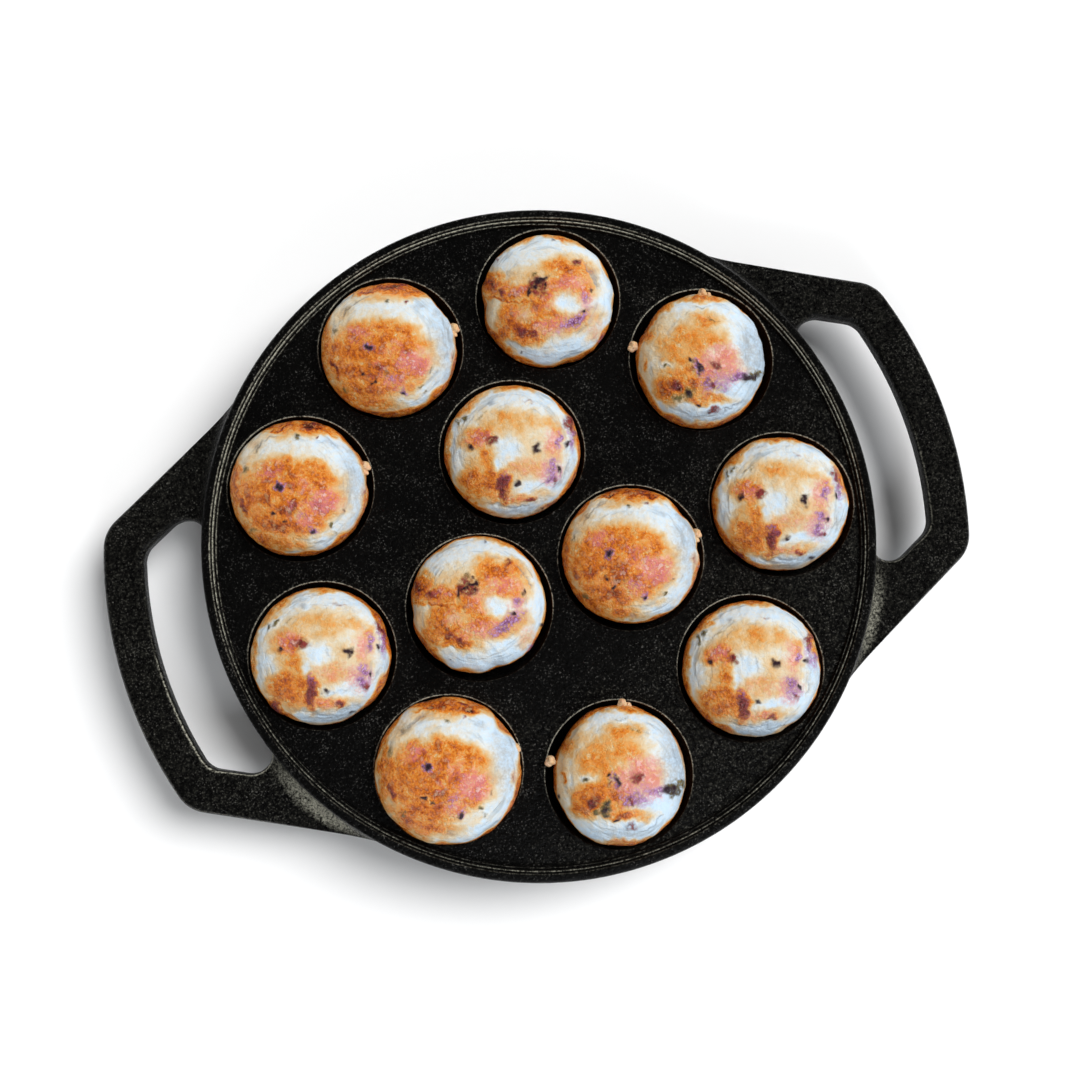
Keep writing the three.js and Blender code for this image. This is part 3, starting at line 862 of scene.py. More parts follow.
# %% [markdown]
# ## Four ways to brown
# Batter never browns twice alike, but four kinds of top show again and again. Painting them by hand would
# need an image. A few dozen ellipses with ragged borders stay readable and sharp, so each look is a list
# of patches for every mask. All lengths are hundredths of the ball's radius, and all angles are degrees.
#
# - A patch is an ellipse: how far its middle lies to the right and upward, its half width and half height,
#   its turn, and its strength in hundredths, which is 100 where it is left out. For browned patches the
#   strength says how far they are baked: 0 is white and 100 is nearly black.
# - A fold is a thin arc in the skin: its radius, the angle of its middle, its half span and its width.
# - A dent pulls the outline in: its angle, its depth and its width as an angle.
# - Stretch is the ball's width and height as shares of the round one.
# - A crumb is a bead of batter at the edge: its place to the right and upward, and its radius.

# %% [markdown]
# ### Banded
# Bands of brown reach in from the left, around a white window right of the middle. A dark knot of chilli and
# seed lies above the middle, and a streak of onion below the window.

# %% The banded look
BANDED = {
    "browned": [
        (-84, 27, 17, 17, 0, 74), (-44, 14, 42, 13, 0, 51), (-30, 36, 46, 12, 14, 19),
        (-60, 1, 36, 3, -6, 62), (30, 46, 35, 20, -8, 48), (30, 22, 42, 28, 0, 40),
        (-3, -12, 26, 44, 0, 44), (30, -28, 42, 20, 12, 36), (-40, -28, 34, 29, -20, 48),
        (-62, -43, 15, 15, 0, 53), (-84, -22, 13, 26, 0, 14), (-40, -43, 28, 11, -32, 80),
        (-30, -57, 24, 6, -4, 58), (68, -46, 11, 16, -25, 18), (-70, -72, 40, 9, -46, 62),
        (25, 95, 40, 5, -14, 42), (-40, 92, 40, 5, 24, 36), (-5, 0, 70, 58, 0, 16),
    ],
    "pale": [
        (27, -2, 20, 14, 0), (-33, -20, 13, 10, 0, 70), (96, 10, 10, 50, 0, 80),
        (10, -96, 40, 10, 0, 70),
    ],
    "pink": [
        (36, 26, 26, 14, 0, 70), (10, -36, 30, 12, 8, 80), (56, 4, 10, 14, 0),
        (-34, -20, 15, 12, 0, 50), (70, -44, 12, 18, -20, 50), (-45, 16, 25, 9, 0, 50),
        (4, 8, 16, 20, 0, 50),
    ],
    "onion": [
        (43, -27, 25, 7, 33), (55, 6, 6, 7, 0, 70), (80, -60, 6, 9, -30, 70), (50, -20, 22, 13, 33, 45),
    ],
    "chilli": [
        (-65, 13, 5.5, 6, 30), (41, 59, 6, 4.5, 0), (-76, 63, 3, 4, 0), (-24, -49, 6, 4, 0),
        (-37, -44, 6, 4.5, 0), (-14, 22, 14, 17, 20, 80), (-20, -5, 4, 5, 0, 60),
    ],
    "herb": [(-17, 41, 5, 4, 0, 70)],
    "seed": [
        (-9, 32, 9, 3.5, 25), (-24, 12, 3, 9, 0), (-17, 22, 3, 5, -30), (-5, 22, 2, 4, 0, 80),
        (52, -12, 3.5, 3.5, 0), (65, 18, 3, 3.5, 0, 80), (93, -30, 5, 2.5, 30), (-37, -78, 2, 2, 0, 80),
        (9, 90, 3, 2.5, 0, 80),
    ],
    "grey": [
        (12, -66, 10, 7, 0, 50), (70, 42, 3, 20, 28, 50), (78, 20, 2, 6, 10, 50),
        (-35, 62, 30, 5, 25, 20),
    ],
    "folds": [(79, 30, 22, 2.2)],
    "dents": [(-173, 4.5, 9), (-73, 4.5, 8)],
    "stretch": (98.5, 99.5),
    "crumbs": [],
}
print("banded:", len(BANDED["browned"]), "browned patches")

# %% [markdown]
# ### Sunny
# One broad golden field with a pink side, and a dark cap at the upper edge. The bits are few and small, and
# two crumbs stick to the right edge.

# %% The sunny look
SUNNY = {
    "browned": [
        (-12, -12, 76, 57, 0, 46), (-34, 22, 34, 20, 0, 50), (8, 28, 34, 14, -10, 48),
        (-18, -24, 20, 26, 0, 62), (-28, -56, 38, 14, -6, 68), (-78, -29, 5, 16, 25, 82),
        (-72, -10, 16, 32, 0, 52), (-92, 0, 8, 56, 0, 46), (-28, -77, 40, 12, -10, 48),
        (-56, -73, 36, 11, -38, 50), (4, 91, 54, 10, -4, 68), (24, 87, 24, 3, -16, 80),
        (-24, 88, 22, 2.5, 14, 78), (-12, 76, 40, 6, 2, 19), (34, -68, 26, 6, 8, 14),
        (-68, 52, 12, 20, -30, 14), (50, 2, 18, 20, 0, 26), (95, -8, 6, 12, 0, 34),
    ],
    "pale": [(12, 16, 9, 6, 0, 30), (50, -2, 10, 8, 0, 40), (94, 20, 10, 30, 0, 80)],
    "pink": [
        (36, -20, 24, 20, 0), (-45, 24, 16, 12, 0, 70), (-12, -30, 8, 14, 0, 50),
        (8, -46, 16, 12, 0, 70), (10, 0, 20, 15, 0, 40), (84, -56, 10, 20, -35, 30),
        (94, -8, 6, 10, 0, 50),
    ],
    "onion": [(-29, 3, 6, 6.5, 0), (6, -40, 9, 6, 0, 45), (20, -60, 5, 5, 0)],
    "chilli": [
        (24, 73, 3, 2.5, 0), (20, 95, 6, 2.5, 0), (93, -7, 3, 5, 0, 60), (-78, -29, 3, 12, 25, 60),
    ],
    "herb": [
        (48, -53, 3.5, 3, 0), (-3, 70, 4, 3, 0), (54, -63, 3, 2.5, 0, 70), (-63, -60, 5, 4, 0, 70),
        (-62, 58, 6, 10, -30, 45), (-80, 26, 3.5, 5, -20, 80), (-8, -34, 9, 6, 0, 45),
    ],
    "seed": [
        (-36, -36, 4, 2.5, 0), (19, -61, 3.5, 3, 15), (-29, 3, 4, 5, 0), (-21, -46, 2.5, 2, 0),
        (62, -30, 1.5, 3, -20, 60),
    ],
    "grey": [
        (45, 63, 12, 6, -20, 70), (68, 55, 6, 6, -30, 70), (-62, 60, 10, 12, -35, 60),
        (-80, 32, 5, 12, -20, 60), (2, -89, 7, 3, 0, 80), (85, -40, 6, 5, 30, 60),
        (72, 0, 10, 2, 0, 40), (80, 6, 22, 56, 8, 70),
    ],
    "folds": [(86, 128, 22, 1.8)],
    "dents": [(40, 3.5, 12), (6, 2, 6)],
    "stretch": (100, 99.5),
    "crumbs": [(95, 31, 7.5), (94, 23, 5.5)],
}
print("sunny:", len(SUNNY["browned"]), "browned patches")

# %% [markdown]
# ### Patchy
# Mostly white, with loose patches: orange at the left and the lower left, ochre above the middle, onion along
# the right side, and a dark piece of chilli below.

# %% The patchy look
PATCHY = {
    "browned": [
        (2, 47, 46, 16, 0, 24), (-2, 50, 18, 9, 0, 26), (40, 44, 28, 11, -12, 26),
        (-36, 34, 24, 12, 35, 24), (-46, 18, 22, 16, 0, 52), (-36, -8, 13, 26, 10, 44),
        (-50, -12, 16, 20, 0, 20), (-46, -46, 31, 25, 0, 49), (-55, -36, 16, 12, 0, 53),
        (18, -23, 48, 16, 0, 27), (60, 10, 17, 36, 0, 24), (66, 30, 10, 12, 0, 34),
        (-2, -66, 44, 10, 4, 42), (-13, -52, 10, 24, 0, 84), (29, -67, 7, 4.5, 10, 70),
        (-62, -76, 18, 6, -42, 72), (-66, 67, 32, 6, 42, 38), (0, 96, 50, 5, 0, 36),
        (-96, 0, 5, 50, 0, 36), (89, 36, 6, 24, 18, 42), (10, 0, 66, 60, 0, 17),
    ],
    "pale": [
        (-6, 4, 22, 17, 0), (28, -50, 22, 8, 14), (40, 22, 16, 10, 0, 40), (-20, -14, 8, 10, 0),
        (16, -93, 60, 12, 6),
    ],
    "pink": [
        (-46, 20, 18, 12, 0, 70), (60, 14, 13, 20, 0), (54, -30, 16, 20, 0), (20, -24, 30, 12, 0, 50),
        (10, -66, 22, 6, 0, 50),
    ],
    "onion": [
        (68, 17, 4.5, 11, 0), (57, -20, 6, 9, 0), (57, -37, 6, 7, 0), (-12, -38, 6, 10, 0, 70),
        (85, 24, 6, 22, 10, 80), (60, -28, 12, 20, 0, 50),
    ],
    "chilli": [
        (-27, 16, 8.5, 8, 0), (82, 40, 4, 12, 25), (-13, -53, 8, 21, 0), (29, -68, 6, 4, 0),
        (63, -42, 4.5, 4.5, 0), (-62, -77, 10, 3.5, -40), (24, 72, 10, 2, -18, 50),
    ],
    "herb": [(-67, 48, 3.5, 7, -30), (-76, 40, 2.5, 7, 10), (-44, 50, 9, 2, 35, 60)],
    "seed": [
        (-57, 9, 4.5, 4.5, 0), (36, 6, 6.5, 6, 0), (80, 12, 2.4, 4.5, 0), (7, -48, 4.5, 3.2, 0),
        (66, -25, 2.5, 4.5, 0), (46, -81, 4, 2, 20, 70),
    ],
    "grey": [
        (-30, 71, 5.5, 4, 20), (9, 5, 2, 11, 12, 80), (50, -67, 5, 2, 15, 70), (82, 10, 5, 8, 0, 50),
        (-28, -76, 14, 2.5, -12, 60), (20, -84, 62, 14, 8, 85), (86, -20, 12, 40, 0, 55),
    ],
    "folds": [(85, -18, 11, 2), (84, -94, 25, 1.8)],
    "dents": [(-55, 2, 10), (15, 1.5, 8)],
    "stretch": (100, 98.5),
    "crumbs": [],
}
print("patchy:", len(PATCHY["browned"]), "browned patches")

# %% [markdown]
# ### Leafy
# Orange on the left, pink and purple right of the middle, and leaf at the right edge. This one is a little
# narrower than round, and three crumbs stick to its edge.

# %% The leafy look
LEAFY = {
    "browned": [
        (-12, 22, 54, 36, 14, 29), (-36, 22, 26, 17, 10, 32), (6, 60, 26, 11, 0, 35),
        (-20, -28, 46, 28, 0, 39), (-48, -40, 20, 20, 20, 53), (-38, -36, 18, 13, 0, 84),
        (-10, -32, 15, 13, 0, 60), (10, -55, 30, 7, 0, 55), (-76, 40, 12, 12, 0, 42),
        (-84, 0, 12, 44, 0, 14), (-55, 52, 22, 14, 40, 15), (28, 0, 34, 28, 0, 27),
        (-80, -5, 3, 7, 0, 50), (-68, 68, 38, 7, 44, 50), (10, 95, 40, 5, 0, 46),
        (10, -95, 50, 5, 0, 44), (10, 28, 22, 14, 0, 40), (-12, 0, 58, 62, 0, 14),
    ],
    "pale": [
        (-46, -7, 13, 6, 0, 80), (14, 14, 10, 7, 0, 40), (54, -42, 16, 10, 20), (96, 16, 10, 50, 0, 80),
    ],
    "pink": [(30, -6, 32, 26, 0), (36, 14, 22, 14, 0), (42, -20, 22, 16, 0)],
    "onion": [
        (18, -33, 17, 10, 10, 80), (34, -38, 12, 7, 20, 70), (54, -22, 13, 5.5, 8), (-3, -8, 5, 12, 20),
        (26, -30, 30, 18, 20, 40),
    ],
    "chilli": [
        (24, -4, 9, 7.5, 0), (18, -72, 8.5, 4.5, 0), (-13, -10, 4.5, 5, 0, 80), (-39, -34, 8, 6, 0, 80),
        (17, -34, 2.5, 8, 30),
    ],
    "herb": [
        (76, -20, 13, 9, 12), (88, -15, 10, 5, -14), (-19, -47, 10, 8.5, 20), (-31, -53, 7, 4.5, 0),
        (-47, -7, 5, 2, 0), (20, 60, 9, 2.5, -10, 70), (4, 80, 10, 2.5, 0, 60),
    ],
    "seed": [
        (-4, -60, 3, 2.5, 0), (-1, -8, 3, 9, 20), (-87, -28, 2.5, 3, 0), (66, -22, 8, 5.5, 10),
        (77, -21, 5, 6, 20), (-18, -47, 4.5, 4.5, 0), (-13, 2, 3, 2.5, 0), (12, -72, 3, 2.5, 0, 70),
    ],
    "grey": [
        (82, 33, 3, 12, -8, 90), (86, 24, 2, 5, 0, 80), (80, 14, 24, 56, 8, 80),
        (10, -83, 62, 14, 4, 60),
    ],
    "folds": [(84, -56, 18, 1.8), (87, 22, 8, 2)],
    "dents": [(150, 2.5, 14), (-150, 2, 10)],
    "stretch": (95, 100.5),
    "crumbs": [(4, 102, 6.5), (13, 99, 4.5), (-99, 20.5, 7.5)],
}
print("leafy:", len(LEAFY["browned"]), "browned patches")

# %% Share out the looks
LOOKS = {"banded": BANDED, "sunny": SUNNY, "patchy": PATCHY, "leafy": LEAFY}
LOOK_OF = {
    "outer_1": "leafy", "outer_2": "patchy", "outer_3": "patchy", "outer_4": "leafy", "outer_5": "banded",
    "outer_6": "sunny", "outer_7": "sunny", "outer_8": "patchy", "outer_9": "sunny",
    "inner_1": "patchy", "inner_2": "banded", "inner_3": "sunny",
}
print("looks:", {look: sum(used == look for used in LOOK_OF.values()) for look in LOOKS})

# %% [markdown]
# ## Masks
# A mask is a number for every point of the mesh: 1 well inside a patch, 0 well outside, and a smooth slope
# between. The borders of real browning wander, so the place of every point is first shifted a little by
# a sum of plane waves. That noise is a formula with seeded directions, so it is the same in every run. An
# image would do the same job, but a mask has no resolution of its own and needs no unwrapping.

# %% Helpers for masks
WAVES = 24
WAVE_SPREAD = (0.7, 1.5)
FULL_STRENGTH = 100
HUNDREDTH = 0.01
PATCH_UNITS = np.array([HUNDREDTH, HUNDREDTH, HUNDREDTH, HUNDREDTH, math.radians(1), HUNDREDTH])
FOLD_UNITS = np.array([HUNDREDTH, 1, 1, HUNDREDTH])
DENT_UNITS = np.array([1, HUNDREDTH, 1])


def wander(places, length, seed):
    """A sum of plane waves of about one length, sin(k . p + phase), scaled to a spread of about 1."""
    draw = np.random.default_rng(seed)
    directions = draw.normal(size=(WAVES, places.shape[1]))
    directions /= np.linalg.norm(directions, axis=1, keepdims=True)
    numbers = 2 * np.pi / (length * draw.uniform(*WAVE_SPREAD, WAVES))
    phases = draw.uniform(0, 2 * np.pi, WAVES)
    waves = np.sin(places @ (directions * numbers[:, None]).T + phases)
    return waves.sum(axis=1) * math.sqrt(2 / WAVES)


def patch_mask(across, up, patches, slope):
    """The largest of strength * smooth(1/2 + (1 - d) * small half / (2 slope)), d being 1 on the ellipse.

    A patch without a sixth number has full strength. On small patches the slope shrinks with the patch.
    """
    patches = np.array([(*patch, FULL_STRENGTH)[:len(PATCH_UNITS)] for patch in patches]) * PATCH_UNITS
    middle_across, middle_up, half_width, half_height, turn, strength = patches.T[:, :, None]
    right, rise_up = across - middle_across, up - middle_up
    along = right * np.cos(turn) + rise_up * np.sin(turn)
    aside = rise_up * np.cos(turn) - right * np.sin(turn)
    distance = np.hypot(along / half_width, aside / half_height)
    small = np.minimum(half_width, half_height)
    border = np.minimum(slope, small)
    return (strength * smooth(0.5 + (1 - distance) * small / (2 * border))).max(axis=0)


def fold_mask(across, up, folds):
    """Thin arcs about the ball's middle: bell(r - radius) where the angle lies within the half span."""
    radius, middle, span, width = (np.array(folds) * FOLD_UNITS).T[:, :, None]
    turn = np.degrees(np.arctan2(up, across)) - middle
    turn = (turn + 180) % 360 - 180
    within = smooth(2 - 2 * np.abs(turn) / span)
    return (bell(np.hypot(across, up) - radius, width) * within).max(axis=0)


print("a patch has", len(PATCH_UNITS), "numbers, a fold", len(FOLD_UNITS), "and a dent", len(DENT_UNITS))

# %% [markdown]
# ## Paniyarams
# Each ball is a polar grid: a half sphere below its widest ring, where it lay against the pit, and a lower
# dome above. A sculpted sphere would do too, but on a grid every look lands on the same points. Dents,
# folds and raised bits move the grid itself, so they also show from the side and in the outline. The
# patterns are laid on as the picture shows them, from above, with its right and its up.

# %% Make the surface of a ball
BALL_AROUND = 320
BALL_BELOW = 36
BALL_ABOVE = 110
CRUMB_AROUND, CRUMB_ROWS = 28, 18
CRUMB_FLATNESS, CRUMB_RISE = 0.8, 0.6
CRUMB_LUMPS, CRUMB_LUMP_LENGTH, CRUMB_SEED = 0.13, 1.3, 7


def ball_grid(radius, crown):
    """A plain ball (r cos t, r sin t, h): r = R cos s, h = R sin s below and crown * sin s above."""
    below = np.linspace(-np.pi / 2, 0, BALL_BELOW, endpoint=False)
    above = np.linspace(0, np.pi / 2, BALL_ABOVE)
    slope = np.concatenate([below, above])
    height = np.where(slope > 0, crown, radius) * np.sin(slope)
    return turned(np.stack([radius * np.abs(np.cos(slope)), height], axis=1), BALL_AROUND)


def dent_factor(turn, dents):
    """The outline's share of its full radius: 1 - depth * bell(angle - place), over all dents."""
    place, depth, width = (np.array(dents) * DENT_UNITS).T[:, :, None]
    away = (np.degrees(turn) - place + 180) % 360 - 180
    return 1 - (depth * bell(away, width)).sum(axis=0)


def crumb_grid(across, up, size, radius):
    """A lumpy bead of batter at the ball's edge: a small flattened ball times 1 + CRUMB_LUMPS * wander."""
    slope = np.linspace(-np.pi / 2, np.pi / 2, CRUMB_ROWS)
    bead = size * radius
    profile = bead * np.stack([np.abs(np.cos(slope)), CRUMB_FLATNESS * np.sin(slope)], axis=1)
    lumps = turned(profile, CRUMB_AROUND)
    lumps *= 1 + CRUMB_LUMPS * wander(lumps, CRUMB_LUMP_LENGTH * bead, CRUMB_SEED)[:, None]
    middle = radius * (across * PICTURE_RIGHT + up * PICTURE_UP)
    return lumps + np.array([middle[0], middle[1], CRUMB_RISE * bead])


print("ball grid:", (BALL_BELOW + BALL_ABOVE) * BALL_AROUND, "points")

# %% [markdown]
# ## Masks of one ball
# Heat says how far the skin is baked, on one scale from white to black. It is the highest of three things:
# the browned patches with a faint halo around each, over a faint warm tint on the upper left that is
# painted warm light; a ring around the waist that touched the hot lip; and the underside that lay in the
# pit. Pale patches take browning away again. The other masks are the blush, the grey mask, which is mostly
# painted cool shade on the balls' edges with a few real grey spots, the folds, whose grooves are also
# painted with cool shade, and the bits.

# %% Work out the masks of one ball
SLOPES = {
    "browned": 0.15, "pale": 0.11, "pink": 0.12, "onion": 0.08, "chilli": 0.06, "herb": 0.05, "seed": 0.05,
    "grey": 0.18,
}
BROAD_SHIFT, BROAD_LENGTH = 0.016, 0.34
FINE_SHIFT, FINE_LENGTH = 0.010, 0.11
BAKE_SWING, BAKE_LENGTH = 0.10, 0.3
HALO_HEAT, HALO_SLOPE = 0.45, 0.32
WARM_LIGHT_HEAT, RING_HEAT, UNDER_HEAT = 0.05, 0.56, 0.55
WARM_LIGHT_START, WARM_LIGHT_LEFTWARD, WARM_LIGHT_UPWARD = 0.45, 0.5, 0.4
RING_TOP, RING_SLOPE, UNDER_TOP = 0.33, 0.20, 0.16
RING_SWING, RING_LENGTH = 0.06, 0.5
PALE_ON_PATCHES, PALE_ON_RING = 0.95, 0.75
ACROSS_DRAW, UP_DRAW, RING_DRAW, LUMP_DRAW, GRAIN_DRAW, BAKE_DRAW, FINE_ACROSS_DRAW, FINE_UP_DRAW = range(8)


def masks_of(look, places, lean, radius, crown, seed):
    """All masks of one ball. The seen place of a point is its own place, shifted by its height's lean.

    Every use of wander has a draw of its own, whose number is added to the ball's seed.
    """
    seen = (places[:, :2] + places[:, 2:] * lean) / radius
    across, up = seen @ PICTURE_RIGHT, seen @ PICTURE_UP
    across = across + BROAD_SHIFT * wander(seen, BROAD_LENGTH, seed + ACROSS_DRAW)
    across = across + FINE_SHIFT * wander(seen, FINE_LENGTH, seed + FINE_ACROSS_DRAW)
    up = up + BROAD_SHIFT * wander(seen, BROAD_LENGTH, seed + UP_DRAW)
    up = up + FINE_SHIFT * wander(seen, FINE_LENGTH, seed + FINE_UP_DRAW)
    mask = {kind: patch_mask(across, up, look[kind], slope) for kind, slope in SLOPES.items()}
    halo = HALO_HEAT * patch_mask(across, up, look["browned"], HALO_SLOPE)
    unevenness = 1 + BAKE_SWING * wander(seen, BAKE_LENGTH, seed + BAKE_DRAW)
    browned = np.maximum(mask.pop("browned"), halo) * unevenness
    # Painted warm light: a faint warm tint toward the upper left of every ball, the side where warm light
    # falls.
    painted_warm_light = WARM_LIGHT_HEAT * smooth(WARM_LIGHT_START - WARM_LIGHT_LEFTWARD * across + WARM_LIGHT_UPWARD * up)
    ring_edge = RING_SWING * wander(seen, RING_LENGTH, seed + RING_DRAW)
    ring = smooth((RING_TOP - places[:, 2] / crown + ring_edge) / RING_SLOPE)
    under = smooth(1 - places[:, 2] / (UNDER_TOP * crown))
    pale = mask.pop("pale")
    patches = painted_warm_light + browned * (1 - PALE_ON_PATCHES * pale)
    waist = RING_HEAT * ring * (1 - PALE_ON_RING * pale)
    mask["heat"] = np.maximum(np.maximum(patches, waist), UNDER_HEAT * under)
    mask["folds"] = fold_mask(across, up, look["folds"])
    above = places[:, 2] > 0
    return {kind: values if kind == "heat" else values * above for kind, values in mask.items()}


print("masks:", ", ".join(SLOPES))

# %% [markdown]
# ## Twelve balls in their pits
# No ball fills its pit exactly. One has swelled a little, and six have settled off the middle, by so many
# millimetres to the right and upward. Both fade toward the bottom, because that rests in the bowl.

# %% Shape a ball
SWELL = {"outer_9": 0.05}
SETTLED = {
    "outer_3": (-1.0, 0.0), "outer_4": (-0.7, -1.0), "outer_5": (-0.2, -1.3), "outer_6": (-0.3, -0.7),
    "inner_2": (-0.4, 1.0), "inner_3": (-0.2, 0.6),
}
# Heights and depths are in millimetres.
LUMP_HEIGHT, LUMP_LENGTH = 0.12, 9 * MM
GRAIN_HEIGHT, GRAIN_LENGTH = 0.05, 3 * MM
SHRUNK = 0.2
RAISED = {"seed": 0.35, "chilli": 0.3, "herb": 0.35, "onion": 0.2}
FOLD_DEPTH = 0.4


def bent(ball, turn, flank, look, swell, radius):
    """The round ball times its look's stretch, its dents and its swelling; dents fade with flank squared."""
    share = 1 - (1 - dent_factor(turn, look["dents"])) * flank ** 2
    share = share * (1 + swell * smooth(1 + ball[:, 2] / radius))
    wide, tall = np.array(look["stretch"]) * HUNDREDTH
    across = (ball[:, :2] @ PICTURE_RIGHT) * wide
    up = (ball[:, :2] @ PICTURE_UP) * tall
    flat = (across[:, None] * PICTURE_RIGHT + up[:, None] * PICTURE_UP) * share[:, None]
    return np.column_stack([flat, ball[:, 2]])


def raised(ball, mask, seed):
    """Every point moves outward by lumps + bits - folds, all in millimetres."""
    outward = ball / np.linalg.norm(ball, axis=1, keepdims=True)
    lumps = LUMP_HEIGHT * wander(ball, LUMP_LENGTH, seed + LUMP_DRAW)
    lumps = lumps + GRAIN_HEIGHT * wander(ball, GRAIN_LENGTH, seed + GRAIN_DRAW) - SHRUNK
    bits = sum(height * mask[kind] for kind, height in RAISED.items())
    return ball + outward * ((lumps + bits - FOLD_DEPTH * mask["folds"]) * MM)[:, None]


def with_crumbs(ball, crumbs, radius):
    """Points and faces of the ball and of the crumbs at its edge."""
    faces = [grid_faces(BALL_BELOW + BALL_ABOVE, BALL_AROUND)]
    places = [ball]
    for crumb in crumbs:
        faces.append(grid_faces(CRUMB_ROWS, CRUMB_AROUND) + sum(len(part) for part in places))
        places.append(crumb_grid(*(np.array(crumb) * HUNDREDTH), radius))
    return np.concatenate(places), faces


def settled(points, offset, radius):
    """The ball shifted by its offset, right and up in millimetres, by less and less toward its bottom."""
    right, upward_shift = np.array(offset) * MM
    settle = smooth(1 + points[:, 2] / radius)
    flat = points[:, :2] + settle[:, None] * (right * PICTURE_RIGHT + upward_shift * PICTURE_UP)
    return np.column_stack([flat, points[:, 2]])


print("swelled:", len(SWELL), "settled:", len(SETTLED))

# %% Write the marks of a ball
CRUMB_HEAT, CRUMB_BLUSH = 0.2, 0.35
WRINKLE_TURN = 1.7


def marks_of(mask, turn, flank, seed, points):
    """The masks packed into marks, three to a colour, with the crumbs' points after the ball's own.

    The swirl mark is (rings * flank, the turn's cosine, the turn's sine + seed), so a wrinkle runs along one
    flank all round, and no two balls have the same ones.
    """
    own = len(turn)
    extra = points - own
    mask = {kind: np.pad(values, (0, extra)) for kind, values in mask.items()}
    mask["heat"][own:] = CRUMB_HEAT
    mask["pink"][own:] = CRUMB_BLUSH
    full = np.ones(points)
    swirl = [RINGS * flank, WRINKLE_TURN * np.cos(turn), WRINKLE_TURN * np.sin(turn) + seed, full[:own]]
    return {
        # The third number of bake is the grey mask and the folds, mostly painted cool shade.
        "bake": np.stack([mask["heat"], mask["pink"], np.maximum(mask["grey"], mask["folds"]), full], axis=1),
        "bits": np.stack([mask["onion"], mask["chilli"], mask["herb"], full], axis=1),
        "seed": mask["seed"],
        "swirl": np.pad(np.stack(swirl, axis=1), ((0, extra), (0, 0))),
    }


print("crumbs: heat", CRUMB_HEAT, "and blush", CRUMB_BLUSH)

# %% Make the paniyarams
FIRST_SEED, SEED_STEP = 100, 10


def paniyaram(label, seed):
    """One ball in its pit: a polar grid, bent, marked and raised, with its crumbs, settled in its place.

    A point's turn is its angle from the picture's right, and its flank is 1 at the waist and 0 at the poles.
    """
    node = "paniyaram_" + label
    low, high = node_box(node)
    radius = (high[0] - low[0]) / 2
    middle = np.array([(low[0] + high[0]) / 2, (low[1] + high[1]) / 2, low[2] + radius])
    crown = high[2] - middle[2]
    lean = (middle[:2] - CAMERA_PLACE[:2]) / (CAMERA_PLACE[2] - middle[2])
    look = LOOKS[LOOK_OF[label]]
    ball = ball_grid(radius, crown)
    turn = np.arctan2(ball[:, :2] @ PICTURE_UP, ball[:, :2] @ PICTURE_RIGHT)
    flank = np.cos(np.arcsin(np.clip(ball[:, 2] / np.where(ball[:, 2] > 0, crown, radius), -1, 1)))
    ball = bent(ball, turn, flank, look, SWELL.get(label, 0.0), radius)
    mask = masks_of(look, ball, lean, radius, crown, seed)
    points, faces = with_crumbs(raised(ball, mask, seed), look["crumbs"], radius)
    points = settled(points, SETTLED.get(label, (0.0, 0.0)), radius)
    marks = marks_of(mask, turn, flank, seed, len(points))
    return put_piece("baked_" + label, points + middle, faces, CRUST, node, node, marks)


for number, label in enumerate(PIT_LABELS):
    ball_piece = paniyaram(label, FIRST_SEED + SEED_STEP * number)
print("paniyarams:", len(PIT_LABELS), "of", len(ball_piece.data.polygons), "faces")

# %% [markdown]
# ## Floor and light
# The pan stands on a plain white studio floor. A small cool light at the lower right of the picture makes the
# glints on crust and grit. A broad one from the upper right throws the soft shadow to the lower left, and a
# weak low one from the left lifts the shaded flanks of the balls. These two are suns with a wide disc and
# not area lights, because a sun lights every place alike and the floor stays evenly white. A faint white
# room fills the rest. Suns and room are left out of mirror images, because the flat deck would show them
# as a grey veil.

# %% Lay the floor
FLOOR_SIZE = 12.0
FLOOR_CLOUD = 0.12
FLOOR_DARK, FLOOR_LIGHT = colour(0.93, 0.93, 0.93), colour(0.95, 0.95, 0.95)
FLOOR_ROUGHNESS, FLOOR_SHEEN = 0.9, 0.1


def floor_finish():
    """Matt white, with a barely visible cloudiness."""
    material, tree, surface = new_finish("white_floor")
    place = shader(tree, "ShaderNodeTexCoord").outputs["Object"]
    shade = blend(tree, noise(tree, place, FLOOR_CLOUD), FLOOR_DARK, FLOOR_LIGHT)
    tree.links.new(shade, surface.inputs["Base Color"])
    surface.inputs["Roughness"].default_value = FLOOR_ROUGHNESS
    surface.inputs["Specular IOR Level"].default_value = FLOOR_SHEEN
    return material


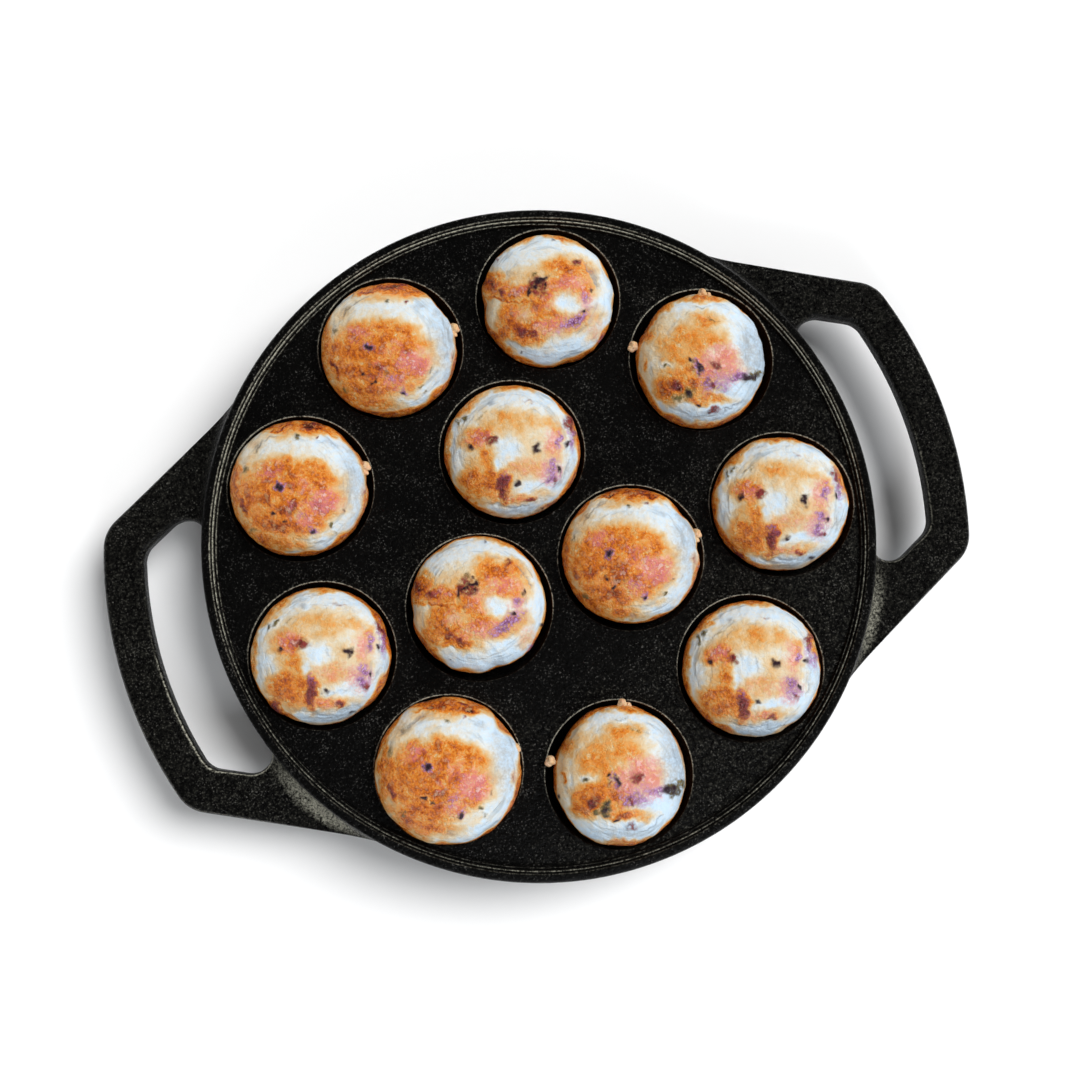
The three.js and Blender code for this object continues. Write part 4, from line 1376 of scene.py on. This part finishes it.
floor_mesh = bpy.data.meshes.new("floor")
floor_corners = np.array([(-1, -1, 0), (1, -1, 0), (1, 1, 0), (-1, 1, 0)]) * FLOOR_SIZE
floor_mesh.from_pydata(floor_corners.tolist(), [], [(0, 1, 2, 3)])
floor_mesh.materials.append(floor_finish())
floor = bpy.data.objects.new("floor", floor_mesh)
bpy.context.scene.collection.objects.link(floor)
print("floor:", 2 * FLOOR_SIZE, "m square")

# %% Hang the lights
KEY_PLACE = (0.25, -0.80, 0.62)
KEY_POWER = 2.4
KEY_SIZE = 0.26
KEY_COLOUR = (0.92, 0.96, 1.0)
SUN_DISC = math.radians(38)
# Each sun: its name, its turn, its height as an angle, and its strength.
SUNS = [("side", math.radians(32), math.radians(49), 3.5), ("fill", math.radians(185), math.radians(17), 0.8)]
ROOM_STRENGTH = 0.16


def hang_light(name, kind, across, up, height, strength, mirrored):
    """A light placed in metres along the picture's right and up, that faces the middle of the pan."""
    data = bpy.data.lights.new(name, kind)
    data.energy = strength
    light = bpy.data.objects.new(name, data)
    flat = across * PICTURE_RIGHT + up * PICTURE_UP
    light.location = (flat[0], flat[1], height)
    light.rotation_euler = (-light.location).to_track_quat("-Z", "Y").to_euler()
    light.visible_glossy = mirrored
    bpy.context.scene.collection.objects.link(light)
    return data


def hang_sun(name, turn, height_angle, strength):
    """A broad light from one direction: turn counts from the picture's right, height from the floor."""
    across = math.cos(height_angle) * math.cos(turn)
    up = math.cos(height_angle) * math.sin(turn)
    sun = hang_light(name, "SUN", across, up, math.sin(height_angle), strength, False)
    sun.angle = SUN_DISC


key = hang_light("key", "AREA", *KEY_PLACE, KEY_POWER, True)
key.size = KEY_SIZE
key.color = KEY_COLOUR
for sun_settings in SUNS:
    hang_sun(*sun_settings)
world = bpy.data.worlds.new("room")
world.use_nodes = True
background = world.node_tree.nodes["Background"]
background.inputs["Color"].default_value = colour(1.0, 1.0, 1.0)
background.inputs["Strength"].default_value = ROOM_STRENGTH
world.cycles_visibility.glossy = False
bpy.context.scene.world = world
bpy.context.scene.view_settings.view_transform = "Standard"
